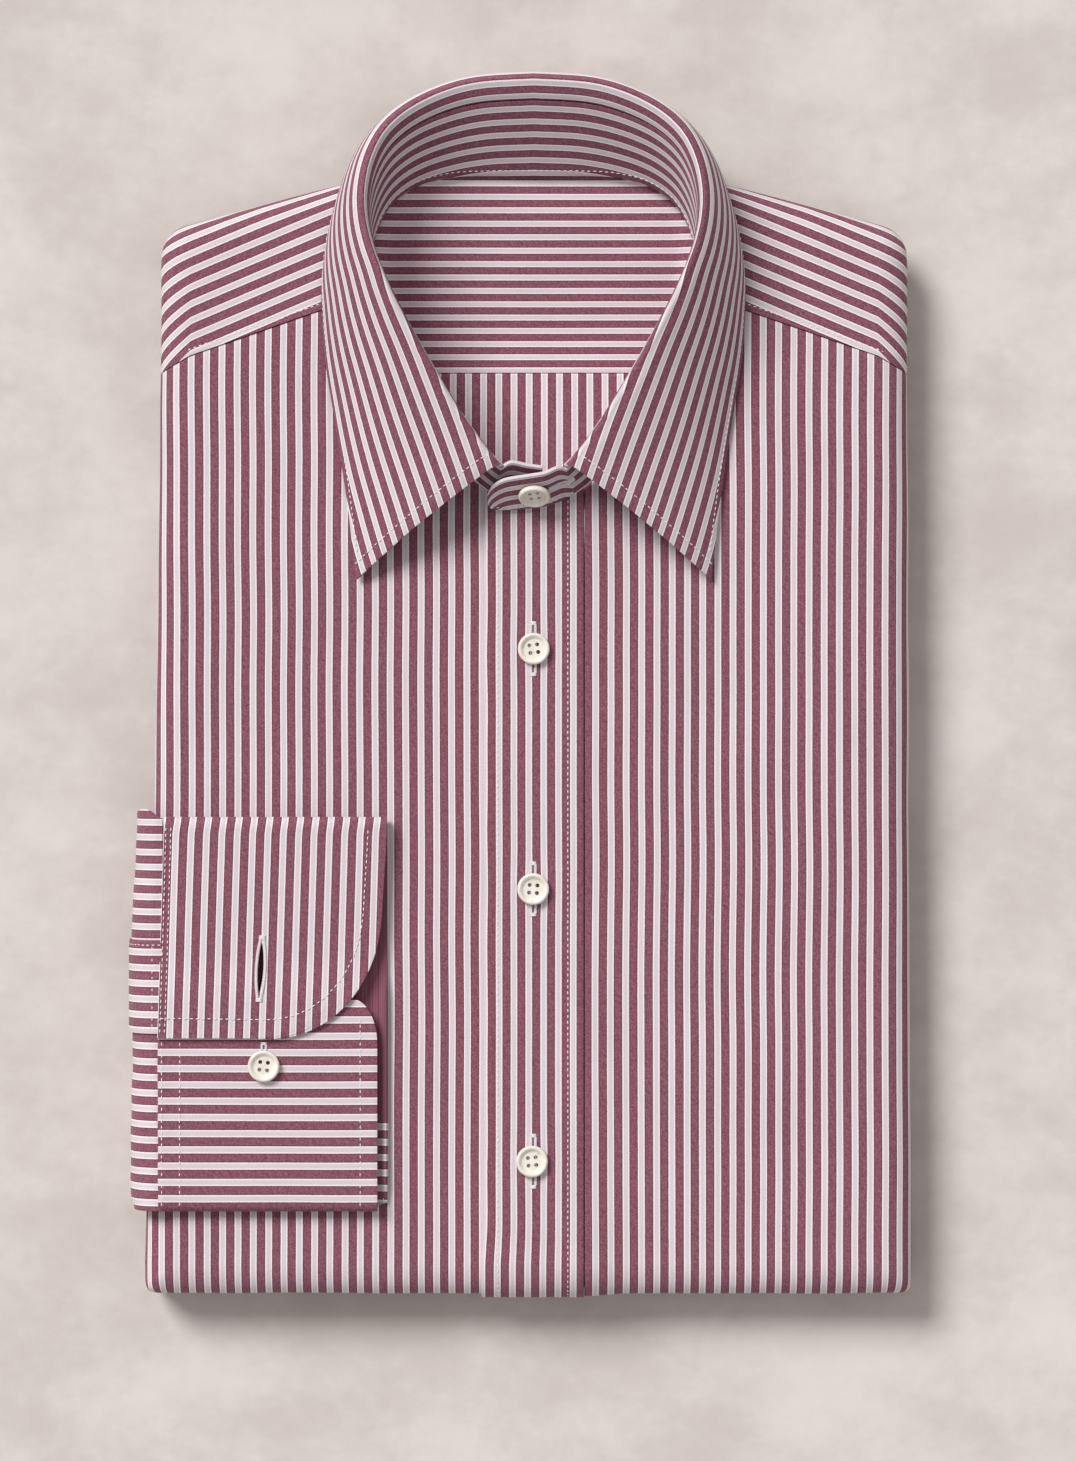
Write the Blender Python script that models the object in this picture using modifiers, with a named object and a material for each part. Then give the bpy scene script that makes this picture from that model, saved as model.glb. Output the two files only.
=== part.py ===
# Folded dress shirt, lying front up on a table with the collar standing.
# X runs to the right over the front, Y towards the collar, Z up from the table.
# Sizes are in millimetres and become metres where the points are placed.

import math

import bmesh
import bpy
from mathutils import Vector

MM = 0.001
CLOTH = 1.2                 # thickness of one wall of cloth
GAP = 0.3                   # clearance between pieces that touch
CORE_CLEAR = 0.9            # the same between the hidden layers and what covers them
MERGE = 0.01                # points this close are one
SHIFT = (0.86, 1.72)        # brings the middle of the shirt's box onto the origin
SHARP_TURN = 50.0           # degrees between faces past which an edge shades sharp

# The folded bundle
CENTRE_X = 4.3              # the line of the buttons
HEM_Y = -216.7              # fold at the bottom
FRONT_TOP = 25.0            # height of the front's outside
EDGE_REACH = 11.0           # how far the side fold's rounding reaches in
UNDER_REACH = 6.0           # the same below the fold's widest line
LOBE_MID = 17.0             # height of the upper fold's widest line
LOBE_RISE = 8.0             # from there up to the front's outside
SKIN_ANGLES = (22, 45, 68, 90, 122, 148)
CORNER_CUT = 1.2            # how much the bottom corners are rounded off
SIDE_TOP_Y = 154.0          # height at which the side edges are measured, and their run down
SIDE_RUN = 369.0
LEFT_SIDE = (-128.3, -2.7, -3.4)    # left edge: x at the top, then its slope and bow outwards
RIGHT_SIDE = (137.4, 0.8, 0.8)
SHOULDER_SLOPE = 0.273
SHOULDER_START = (65.0, 179.9)
SHOULDER_BLEND = 5.0        # how softly the slope levels out
NECK_BACK_Y = 188.5         # the shoulder fold behind the neck
UNDER_START = (2.0, 30.0)   # above the bottom fold, where the side folds start to turn under
SHOULDER_CORNER = 12.0      # radius of the outline where shoulder meets side
TAIL_SHORT = 14.0           # the folded tail ends this far below the shoulder line
SEAM_NECK = (58.0, 139.2)   # the front yoke seam at the neck and at the side
SEAM_SIDE_Y = 111.0
SEAM_DROOP = 6.0

# The neck seam: half width at each height, from the front up to the back
NECK_SEAM = (
    {"half": 0.0, "y": 64.0}, {"half": 10.0, "y": 66.0}, {"half": 20.0, "y": 72.0},
    {"half": 30.0, "y": 82.0}, {"half": 40.0, "y": 97.0}, {"half": 50.0, "y": 117.0},
    {"half": 57.5, "y": 137.0}, {"half": 58.0, "y": 152.0}, {"half": 52.5, "y": 168.5},
    {"half": 43.0, "y": 176.5}, {"half": 30.0, "y": 180.2},
    {"half": 15.0, "y": 180.8}, {"half": 0.0, "y": 180.8},
)
NECK_WIDEST = 7             # the row where the back half starts
NECK_FACING = 50.0          # nearer the middle than this, neck and shoulder fold face each other
WELL_MARGIN = 2.0           # the hollow under the neck is this much wider
FLOOR_BACK = (180.0, 24.6)  # y and height of the inside at the back neck seam
FLOOR_FRONT = (112.0, 12.0)
INSIDE_SEAM_Y = 109.9       # inside, the yoke meets the back here

# The collar, one row per station from the middle of the back to the front
COLLAR = (
    {"ridge": (0.0, 213.6, 52.0), "outer": (0.0, 207.0, 10.0), "roll": 6.5},
    {"ridge": (18.6, 212.4, 52.3), "outer": (20.5, 206.0, 10.4), "roll": 6.5},
    {"ridge": (31.4, 209.2, 53.0), "outer": (35.0, 202.5, 12.0), "roll": 6.5},
    {"ridge": (43.5, 203.2, 54.6), "outer": (49.5, 196.3, 15.0), "roll": 6.2},
    {"ridge": (52.0, 195.6, 56.5), "outer": (59.5, 188.5, 19.5), "roll": 6.0},
    {"ridge": (57.0, 186.0, 58.2), "outer": (65.8, 179.0, 25.6), "roll": 5.6},
    {"ridge": (59.2, 175.0, 59.4), "outer": (70.4, 167.0, 26.6), "roll": 5.2},
    {"ridge": (58.8, 164.5, 60.0), "outer": (73.4, 155.0, 26.6), "roll": 4.8},
    {"ridge": (56.2, 154.0, 60.0), "outer": (74.7, 142.0, 26.6), "roll": 4.4},
    {"ridge": (52.0, 143.5, 59.0), "outer": (74.5, 128.5, 26.6), "roll": 4.0},
    {"ridge": (46.4, 132.0, 57.2), "outer": (73.2, 114.0, 26.6), "roll": 3.6},
    {"ridge": (39.6, 120.0, 54.8), "outer": (70.9, 99.0, 26.6), "roll": 3.2},
    {"ridge": (32.0, 107.5, 52.0), "outer": (68.4, 82.0, 26.6), "roll": 2.8},
    {"ridge": (24.0, 95.0, 49.0), "outer": (65.8, 64.5, 26.8), "roll": 2.4},
    {"ridge": (15.6, 83.5, 46.4), "outer": (63.8, 47.0, 27.0), "roll": 2.0},
    {"ridge": (11.2, 78.4, 45.0), "outer": (62.7, 37.4, 27.4), "roll": 1.6},
)
LEAF_BULGE = 2.4            # how far the leaf bows out between ridge and edge
BAND_THICK = 1.5            # the collar stand's wall
BAND_FOOT = 26.5            # height of the stand's lower edge on the body
LEAF_STATIONS = 26          # along half the leaf

# The stand's front ends past the collar leaf: foot, then top edge
STAND_END = (
    {"foot": (10.0, 66.4, 26.9), "top": (8.2, 77.4, 42.6)},
    {"foot": (4.0, 65.2, 27.1), "top": (3.2, 76.0, 42.6)},
    {"foot": (-3.0, 64.4, 27.2), "top": (-3.2, 75.0, 42.4)},
    {"foot": (-10.0, 64.0, 27.2), "top": (-10.2, 73.8, 41.4)},
    {"foot": (-14.4, 64.2, 27.8), "top": (-14.4, 71.6, 38.4)},
    {"foot": (-16.2, 65.4, 29.6), "top": (-16.2, 69.2, 34.6)},
)
UNDER_LAP_STEPS = 3         # the end underneath has only this many of them
LAP_SHIFT = 1.9             # each lapping end moves this far off the middle
LAP_OUT = (0.85, 0.53)      # the way off the band's face, towards the hem and up

# The placket and the buttons on it
PLACKET = (-13.3, 22.2)     # left and right edges
FRONT_BUTTONS = {"button_top": 12.8, "button_middle": -72.4, "button_bottom": -169.0}
COLLAR_BUTTON = (4.6, 67.4)
COLLAR_BUTTON_HEIGHT = 36.4
COLLAR_BUTTON_TILT = 56.0
CUFF_BUTTON = (-91.1, -134.9)

# The cuff, folded round over the left of the front
CUFF_LEFT = -126.7
CUFF_RIGHT = -47.6
CUFF_TOP = -47.4            # the two folds of the band
CUFF_BOTTOM = -186.0
CUFF_BACK_HEIGHT = 26.2     # middle of the ply that lies on the front
CUFF_PLIES = 4.6            # distance between the plies
FLAP_END = -125.0           # the buttonhole end
FLAP_LIFT = 1.7             # how far the flap rises over the button end
BUTTON_END = -111.2
BUTTON_END_RIGHT = -51.0
FLAP_CORNER = (38.0, 45.0)  # the flap's large rounded corner, across and along
END_CORNER = (9.0, 16.0)

# The sleeve round the left side
SLEEVE_THICK = 2.2
SLEEVE_TOP = (-44.6, -47.0)     # upper end at the outer side and at the cuff
SLEEVE_BOTTOM = -186.4
SLEEVE_OUT = -137.9             # its outermost line, measured on the middle of the wall
SLEEVE_TAPER = 1.7              # narrower at the upper end
GAUNTLET = (-90.5, -123.5)      # upper and lower end of the sleeve placket


def lerp(start, end, share):
    return start + (end - start) * share


def smoothstep(low, high, value):
    share = min(max((value - low) / (high - low), 0.0), 1.0)
    return share * share * (3.0 - 2.0 * share)


def curve_through(points, position):
    """A smooth curve through the points; position counts from the first, 0, 1, 2, ..."""
    last = len(points) - 1
    index = min(max(int(math.floor(position)), 0), last - 1)
    share = position - index
    before = points[max(index - 1, 0)]
    start = points[index]
    end = points[index + 1]
    after = points[min(index + 2, last)]
    leave = (end - before) * 0.5
    arrive = (after - start) * 0.5
    square = share * share
    cube = square * share
    return (
        start * (2 * cube - 3 * square + 1)
        + leave * (cube - 2 * square + share)
        + end * (3 * square - 2 * cube)
        + arrive * (cube - square)
    )


# Materials and objects

def make_material(name, colour, roughness, metallic=0.0):
    material = bpy.data.materials.new(name)
    material.use_nodes = True
    shader = material.node_tree.nodes["Principled BSDF"]
    shader.inputs["Base Color"].default_value = (*colour, 1.0)
    shader.inputs["Roughness"].default_value = roughness
    shader.inputs["Metallic"].default_value = metallic
    return material


def new_collection(name):
    collection = bpy.data.collections.new(name)
    bpy.context.scene.collection.children.link(collection)
    return collection


def finish_object(name, mesh, material, collection):
    obj = bpy.data.objects.new(name, mesh)
    mesh.materials.clear()
    mesh.materials.append(material)
    collection.objects.link(obj)
    mesh.shade_smooth()
    mesh.set_sharp_from_angle(angle=math.radians(SHARP_TURN))
    return obj


def grid_mesh(name, patches, flip=False):
    """Sheets of cloth joined where they meet; place(column, row) gives points in millimetres."""
    joined = bmesh.new()
    for columns, rows, place in patches:
        sheet = bmesh.new()
        bmesh.ops.create_grid(sheet, x_segments=columns, y_segments=rows, size=1.0)
        for vertex in sheet.verts:
            column = round((vertex.co.x + 1.0) * 0.5 * columns)
            row = round((vertex.co.y + 1.0) * 0.5 * rows)
            x, y, z = place(column, row)
            vertex.co = Vector((x + SHIFT[0], y + SHIFT[1], z)) * MM
        patch = bpy.data.meshes.new("patch")
        sheet.to_mesh(patch)
        sheet.free()
        joined.from_mesh(patch)
        bpy.data.meshes.remove(patch)
    bmesh.ops.remove_doubles(joined, verts=joined.verts[:], dist=MERGE * MM)
    if flip:
        bmesh.ops.reverse_faces(joined, faces=joined.faces[:])
    mesh = bpy.data.meshes.new(name)
    joined.to_mesh(mesh)
    joined.free()
    return mesh


def cloth_wall(name, patches, material, collection, thick=CLOTH, offset=-1.0, flip=False):
    """A wall of cloth: the placed sheet is its outside, or its middle when offset is 0."""
    mesh = grid_mesh(name, patches, flip)
    obj = finish_object(name, mesh, material, collection)
    solidify = obj.modifiers.new("Thickness", "SOLIDIFY")
    solidify.thickness = thick * MM
    solidify.offset = offset
    solidify.use_quality_normals = True
    return obj


# Outline of the folded bundle

def bowed(side_line, y):
    share = (SIDE_TOP_Y - y) / SIDE_RUN
    top, slope, bow = side_line
    return top + slope * share + bow * share * share


def left_edge(y):
    return bowed(LEFT_SIDE, y)


def right_edge(y):
    return bowed(RIGHT_SIDE, y)


def side_edge(side, y):
    return right_edge(y) if side > 0 else left_edge(y)


def shoulder_line(x):
    """Y of the fold along the top, which levels out behind the neck."""
    off_centre = abs(x - CENTRE_X)
    slope = SHOULDER_START[1] - (off_centre - SHOULDER_START[0]) * SHOULDER_SLOPE
    difference = (slope - NECK_BACK_Y) / SHOULDER_BLEND
    return NECK_BACK_Y - SHOULDER_BLEND * math.log1p(math.exp(-difference))


def neck_half(y):
    """Half the width of the neck hole at this height."""
    rows = [Vector((row["half"], row["y"])) for row in NECK_SEAM]
    for lower, upper in zip(rows, rows[1:]):
        if lower.y <= y <= upper.y:
            return lerp(lower.x, upper.x, (y - lower.y) / (upper.y - lower.y))
    return 0.0


def neck_front(off_centre):
    """Y of the neck seam's front half at this distance from the middle."""
    for near, far in zip(NECK_SEAM, NECK_SEAM[1:]):
        if near["half"] <= off_centre <= far["half"]:
            return lerp(near["y"], far["y"], (off_centre - near["half"]) / (far["half"] - near["half"]))
    return SEAM_NECK[1]


def fold_level(angle, lift, under):
    """Inset and height of the rounded edge, lifted off the front's outside."""
    turn = math.radians(angle)
    if angle <= 90:
        inset = -lift + (EDGE_REACH + lift) * (1.0 - math.sin(turn))
    else:
        inset = -lift + (UNDER_REACH + lift) * (1.0 - math.sin(turn)) * under
    return inset, LOBE_MID + (LOBE_RISE + lift) * math.cos(turn)


def under_share(y):
    """How much a side fold turns under here: not at the bottom fold, fully above it."""
    return smoothstep(HEM_Y + UNDER_START[0], HEM_Y + UNDER_START[1], y)


def body_point(side, across, along, level, inner_x, lift, at_hem, at_side):
    """A point of a front: shares over the flat, or a level down the folded edge."""
    angle = SKIN_ANGLES[level - 1] if level else 0
    guess_y = lerp(HEM_Y + EDGE_REACH, SEAM_SIDE_Y, along)
    under = under_share(guess_y)
    edge = side_edge(side, guess_y)
    inset_x, z = fold_level(angle, lift, under) if level else (EDGE_REACH, FRONT_TOP + lift)
    inset_y = fold_level(angle, lift, 0.0)[0] if level and at_hem else EDGE_REACH
    if not at_side:
        inset_x = EDGE_REACH
    turn_x = edge - side * inset_x
    x = lerp(inner_x, turn_x, across) if not at_side else turn_x
    y = lerp(HEM_Y + inset_y, front_top(x, inset_x), along)
    if at_hem and at_side and level:
        cut = corner_cut(angle)
        return x - side * cut, y + cut, z
    return x, y, z


def corner_cut(angle):
    """How far a bottom corner is drawn in at this angle round the fold."""
    return CORNER_CUT * math.sin(math.radians(min(angle, 90))) ** 4


def seam_line(x, inset_x):
    """Y of the front yoke seam, which droops as it goes round the side."""
    side = 1 if x > CENTRE_X else -1
    if inset_x < EDGE_REACH - MERGE:
        return SEAM_SIDE_Y + SEAM_DROOP * inset_x / EDGE_REACH
    turn_x = abs(side_edge(side, SEAM_SIDE_Y) - side * EDGE_REACH - CENTRE_X)
    share = (abs(x - CENTRE_X) - SEAM_NECK[0]) / (turn_x - SEAM_NECK[0])
    return lerp(SEAM_NECK[1], SEAM_SIDE_Y + SEAM_DROOP, min(max(share, 0.0), 1.0))


def front_top(x, inset_x):
    """Y of a front's upper edge: the neck seam, then the yoke seam."""
    off_centre = abs(x - CENTRE_X)
    if off_centre < SEAM_NECK[0]:
        return neck_front(off_centre) - GAP
    return seam_line(x, inset_x) - GAP


# Fronts and placket

FRONT_COLUMNS = 10
FRONT_ROWS = 13
LEVELS = len(SKIN_ANGLES)
PLACKET_COLUMNS = 4
PLACKET_OVERLAP = 2.0       # the right front runs to this far short of the placket's edge
SEAM_RAISE = 1.2            # the front climbs this much to meet the placket
SEAM_RAISE_REACH = 16.0


def front_patches(side, inner_x, climb=0.0):
    """The flat of a front, and the strip that turns down round the hem and the side."""
    def raised(x, y, z, share):
        near_seam = 1.0 - smoothstep(0.0, SEAM_RAISE_REACH, abs(x - inner_x))
        return x, y - climb * near_seam * share, z + climb * near_seam * (1.0 - share)

    def flat(column, row):
        across = column / FRONT_COLUMNS
        at_side = column == FRONT_COLUMNS
        return raised(*body_point(side, across, row / FRONT_ROWS, 0, inner_x, 0.0, False, at_side), 0.0)

    def edge(step, level):
        at_side = step >= FRONT_COLUMNS
        across = min(step / FRONT_COLUMNS, 1.0)
        along = max(step - FRONT_COLUMNS, 0) / FRONT_ROWS
        at_hem = step <= FRONT_COLUMNS
        x, y, z = body_point(side, across, along, LEVELS - level, inner_x, 0.0, at_hem, at_side)
        return raised(x, y, z, 1.0 - level / LEVELS)

    return [
        (FRONT_COLUMNS, FRONT_ROWS, flat),
        (FRONT_COLUMNS + FRONT_ROWS, LEVELS, edge),
    ]


def build_fronts(cloth, collection):
    left = front_patches(1, PLACKET[1] + GAP, SEAM_RAISE)
    cloth_wall("front_left", left, cloth, collection)
    right = front_patches(-1, PLACKET[1] - PLACKET_OVERLAP)
    cloth_wall("front_right", right, cloth, collection, flip=True)


def build_placket(cloth, collection):
    lift = CLOTH + GAP

    def place(column, row):
        x = lerp(PLACKET[0], PLACKET[1], column / PLACKET_COLUMNS)
        level = max(LEVELS - row, 0)
        along = max(row - LEVELS, 0) / FRONT_ROWS
        return body_point(1, 0.0, along, level, x, lift, level > 0, False)

    cloth_wall("placket", [(PLACKET_COLUMNS, FRONT_ROWS + LEVELS, place)], cloth, collection)


# Yoke

YOKE_SIDE_STEPS = 4
YOKE_SHOULDER_STEPS = 8
YOKE_CORNER_STEPS = 3
YOKE_FLAT_ROWS = 3          # between the neck seam and the turn of the fold
CORNER_Y = 160.0            # where the side edge is read for the shoulder corner
NECK_SIDE = ((58.0, 152.0), (52.5, 168.5))  # the neck seam beside the neck, half width and y
EDGE_SHIFT = (60.0, 120.0)  # from this far off the middle the left side's extra width sets in
NECK_CLEAR = 1.5            # the flat's least width between neck seam and fold


def yoke_outline():
    """Points and inward directions of the right half's outline, side seam to mid back."""
    corner_x = right_edge(CORNER_Y) - SHOULDER_CORNER
    start = Vector((right_edge(SEAM_SIDE_Y), SEAM_SIDE_Y))
    tilt = math.atan(SHOULDER_SLOPE)
    centre = Vector((corner_x, shoulder_line(corner_x) - SHOULDER_CORNER / math.cos(tilt)))
    outline = []
    for step in range(YOKE_SIDE_STEPS):
        y = lerp(start.y, centre.y, step / YOKE_SIDE_STEPS)
        outline.append((Vector((right_edge(y), y)), Vector((-1.0, 0.0))))
    for step in range(YOKE_CORNER_STEPS):
        turn = (math.pi / 2 - tilt) * step / YOKE_CORNER_STEPS
        outward = Vector((math.cos(turn), math.sin(turn)))
        outline.append((centre + outward * SHOULDER_CORNER, -outward))
    for step in range(YOKE_SHOULDER_STEPS + 1):
        share = step / YOKE_SHOULDER_STEPS
        x = lerp(corner_x + SHOULDER_CORNER * math.sin(tilt), CENTRE_X, share)
        slope = (shoulder_line(x + 1.0) - shoulder_line(x - 1.0)) / 2.0
        inward = Vector((slope, -1.0)).normalized()
        outline.append((Vector((x, shoulder_line(x))), inward))
    return outline


def neck_back(off_centre):
    """Y of the neck seam's back half at this distance from the middle."""
    rows = NECK_SEAM[NECK_WIDEST:]
    for far, near in zip(rows, rows[1:]):
        if near["half"] <= off_centre <= far["half"]:
            return lerp(near["y"], far["y"], (off_centre - near["half"]) / (far["half"] - near["half"]))
    return rows[-1]["y"]


def neck_points(outline):
    """The point of the neck seam opposite each point of the outline's right half."""
    offs = [edge.x - CENTRE_X for edge, _ in outline]
    facing = [index for index, off in enumerate(offs) if off < NECK_FACING]
    side_rows = [Vector(SEAM_NECK), *(Vector(row) for row in NECK_SIDE)]
    side_rows.append(Vector((offs[facing[0]], neck_back(offs[facing[0]]))))
    points = []
    for index, off in enumerate(offs):
        if index < facing[0]:
            points.append(curve_through(side_rows, index / facing[0] * (len(side_rows) - 1)))
        else:
            points.append(Vector((max(off, 0.0), neck_back(max(off, 0.0)))))
    return points


def build_yoke(cloth, collection):
    outline = yoke_outline()
    necks = neck_points(outline)
    half = len(outline) - 1
    flat = YOKE_FLAT_ROWS

    def place(column, row):
        side = 1 if column < half else -1
        step = column if column <= half else 2 * half - column
        edge, inward = outline[step]
        seam_share = 1.0 - min(step / YOKE_SIDE_STEPS, 1.0)
        neck = necks[step]
        narrow = left_to_right(edge.y) if side < 0 else 0.0
        angle = SKIN_ANGLES[row - flat - 1] if row > flat else 0
        inset, z = fold_level(angle, 0.0, 1.0)
        if angle < 90:
            inset *= reach_at(edge, inward, neck) / EDGE_REACH
        turned = edge + inward * inset
        turned.y += SEAM_DROOP * seam_share * min(inset / EDGE_REACH, 1.0)
        x = turned.x - CENTRE_X + narrow * smoothstep(*EDGE_SHIFT, turned.x - CENTRE_X)
        if row < flat:
            share = row / flat
            return CENTRE_X + side * lerp(neck.x, x, share), lerp(neck.y, turned.y, share), FRONT_TOP
        return CENTRE_X + side * x, turned.y, z

    cloth_wall("yoke", [(2 * half, flat + LEVELS, place)], cloth, collection, flip=True)


def left_to_right(y):
    """How much further the left side edge lies from the middle than the right one."""
    return (CENTRE_X - left_edge(y)) - (right_edge(y) - CENTRE_X)


def reach_at(edge, inward, neck):
    """The rounding's reach, less where the neck seam comes close to the fold."""
    clear = abs((edge - Vector((CENTRE_X + neck.x, neck.y))).dot(inward))
    return min(EDGE_REACH, clear - NECK_CLEAR)


# Inside of the neck

FLOOR_EASE = 12.0           # the fall starts this far behind the back neck seam
INSIDE_BOTTOM_Y = 68.0      # lower end of the back where it shows
INSIDE_TOP_GAP = 0.5        # the yoke's inside stops this short of the neck seam
INSIDE_CLEAR = 1.2          # between its sides and the hollow's walls
INSIDE_COLUMNS = 8
YOKE_INSIDE_ROWS = 8
BACK_INSIDE_ROWS = 4


def floor_height(y):
    """Outside of the back's inner face, which falls from the neck seam into the neck."""
    share = smoothstep(FLOOR_BACK[0] + FLOOR_EASE, FLOOR_FRONT[0], y)
    return lerp(FLOOR_BACK[1], FLOOR_FRONT[1], share)


def build_inside(cloth, collection):
    def strip(name, low, high, rows):
        def place(column, row):
            y = lerp(low, high, row / rows)
            half = neck_half(y) + WELL_MARGIN - INSIDE_CLEAR
            x = CENTRE_X + half * (2.0 * column / INSIDE_COLUMNS - 1.0)
            return x, y, floor_height(y)
        cloth_wall(name, [(INSIDE_COLUMNS, rows, place)], cloth, collection)

    strip("yoke_inside", INSIDE_SEAM_Y + GAP, FLOOR_BACK[0] - INSIDE_TOP_GAP, YOKE_INSIDE_ROWS)
    strip("back_inside", INSIDE_BOTTOM_Y, INSIDE_SEAM_Y, BACK_INSIDE_ROWS)


# Hidden layers

CORE_HEM_STEPS = 8
TAIL_FADE = (120.0, 165.0)  # heights between which the tail falls back from the shoulder
DIAGONAL = 1.1              # an inward direction longer than this belongs to a bottom corner
WELL = (66.5, 191.0)        # lower and upper end of the hollow under the neck
WELL_WIDEST_Y = 176.0       # above this the hollow keeps its width
WELL_TOP = 40.0             # the cutter's height, well above the folded layers
WELL_COLUMNS = 10
WELL_ROWS = 14
# The lower fold: inset at sides and shoulder, height, then the same at the bottom fold
LOWER_FOLD = (
    {"inset": 8.0, "height": 10.3, "hem_inset": 1.8, "hem_height": 9.9},
    {"inset": 4.6, "height": 8.8, "hem_inset": 0.1, "hem_height": 9.4},
    {"inset": 1.2, "height": 7.2, "hem_inset": 0.0, "hem_height": 8.0},
    {"inset": 0.2, "height": 4.6, "hem_inset": 1.0, "hem_height": 4.8},
    {"inset": 1.6, "height": 2.0, "hem_inset": 3.4, "hem_height": 2.0},
    {"inset": 6.0, "height": 0.0, "hem_inset": 9.0, "hem_height": 0.0},
)


def core_ring(level, under):
    """Inset and height of a ring of the core; under is 0 at the bottom fold, 1 elsewhere."""
    sunk = -(CLOTH + CORE_CLEAR)
    if level == 0:
        return EDGE_REACH, FRONT_TOP + sunk
    if level <= LEVELS:
        return fold_level(SKIN_ANGLES[level - 1], sunk, under)
    row = LOWER_FOLD[level - LEVELS - 1]
    inset = lerp(row["hem_inset"], row["inset"], under)
    return inset, lerp(row["hem_height"], row["height"], under)


def core_outline():
    """Right half of the bundle's outline: point, inward direction, share of side fold."""
    outline = []
    for step in range(CORE_HEM_STEPS):
        x = lerp(CENTRE_X, right_edge(HEM_Y) - EDGE_REACH, step / CORE_HEM_STEPS)
        outline.append((Vector((x, HEM_Y)), Vector((0.0, 1.0)), 0.0))
    outline.append((Vector((right_edge(HEM_Y), HEM_Y)), Vector((-1.0, 1.0)), 0.0))
    for step in range(1, FRONT_ROWS):
        y = lerp(HEM_Y + EDGE_REACH, SEAM_SIDE_Y, step / FRONT_ROWS)
        under = under_share(y)
        outline.append((Vector((right_edge(y), y)), Vector((-1.0, 0.0)), under))
    for edge, inward in yoke_outline():
        outline.append((edge, inward, 1.0))
    return outline


def build_core(cloth, collection, cutters):
    outline = core_outline()
    half = len(outline) - 1
    levels = LEVELS + len(LOWER_FOLD)

    def place(step, row):
        step = step % (2 * half)
        side = 1 if step <= half else -1
        edge, inward, under = outline[step if step <= half else 2 * half - step]
        level = levels - row
        inset, z = core_ring(level, under)
        if inward.length > DIAGONAL:
            inset += corner_cut(SKIN_ANGLES[level - 1] if 0 < level <= LEVELS else 90 * min(level, 1))
        point = edge + inward * inset
        if level > LEVELS:
            point.y -= TAIL_SHORT * smoothstep(*TAIL_FADE, edge.y)
        off_centre = point.x - CENTRE_X
        if side < 0:
            off_centre += left_to_right(edge.y) * smoothstep(*EDGE_SHIFT, off_centre)
        return CENTRE_X + side * off_centre, point.y, z

    mesh = grid_mesh("folded_layers", [(2 * half, levels, place)])
    shell = bmesh.new()
    shell.from_mesh(mesh)
    bmesh.ops.holes_fill(shell, edges=[edge for edge in shell.edges if edge.is_boundary], sides=0)
    bmesh.ops.recalc_face_normals(shell, faces=shell.faces[:])
    shell.to_mesh(mesh)
    shell.free()
    core = finish_object("folded_layers", mesh, cloth, collection)
    well = core.modifiers.new("Neck well", "BOOLEAN")
    well.operation = "DIFFERENCE"
    well.solver = "EXACT"
    well.object = neck_cutter(cutters)
    return core


def neck_cutter(cutters):
    """The space under the neck hole, down to the back's inner face."""
    def place(column, row):
        y = lerp(*WELL, row / WELL_ROWS)
        half = neck_half(min(y, WELL_WIDEST_Y)) + WELL_MARGIN
        x = CENTRE_X + half * (2.0 * column / WELL_COLUMNS - 1.0)
        return x, y, floor_height(y) - CLOTH - CORE_CLEAR

    mesh = grid_mesh("neck_well", [(WELL_COLUMNS, WELL_ROWS, place)])
    shell = bmesh.new()
    shell.from_mesh(mesh)
    raised = bmesh.ops.extrude_face_region(shell, geom=shell.faces[:])
    for item in raised["geom"]:
        if isinstance(item, bmesh.types.BMVert):
            item.co.z = WELL_TOP * MM
    bmesh.ops.recalc_face_normals(shell, faces=shell.faces[:])
    shell.to_mesh(mesh)
    shell.free()
    cutter = bpy.data.objects.new("neck_well", mesh)
    cutter.hide_render = True
    cutter.display_type = "WIRE"
    cutters.objects.link(cutter)
    return cutter


# Collar

def mirrored(point, side):
    return Vector((CENTRE_X + side * point.x, point.y, point.z))


def collar_station(position):
    """Ridge, outer edge, foot of the stand and roll at a place along half the collar."""
    ridge = curve_through([Vector(row["ridge"]) for row in COLLAR], position)
    outer = curve_through([Vector(row["outer"]) for row in COLLAR], position)
    roll = curve_through([Vector((row["roll"], 0.0)) for row in COLLAR], position).x
    share = position / (len(COLLAR) - 1)
    foot = collar_foot(share)
    return ridge, outer, foot, roll


# Place on the neck seam under each station of the collar, as half width and y
FOOT_LINE = (
    (0.0, 180.8), (14.0, 180.8), (28.0, 180.4), (40.0, 177.8), (49.0, 172.2),
    (54.5, 164.5), (57.6, 155.0), (58.0, 145.0), (56.8, 134.5), (53.0, 123.5),
    (48.4, 113.0), (43.0, 102.5), (37.0, 92.0), (30.0, 82.0), (21.8, 73.4), (14.5, 68.2),
)


FOOT_RISE = (102.0, 88.0)   # heights between which the foot climbs with the left front


def collar_foot(share):
    points = [
        Vector((x, y, BAND_FOOT + SEAM_RAISE * smoothstep(*FOOT_RISE, y))) for x, y in FOOT_LINE
    ]
    return curve_through(points, share * (len(points) - 1))


ROLL_RADIUS = 2.3           # of the fold along the ridge, on the middle of the wall
ROLL_STEPS = 4
# Shares of the way from the roll down to the leaf's edge
LEAF_SHARES = (0.3, 0.65, 1.0)


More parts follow.
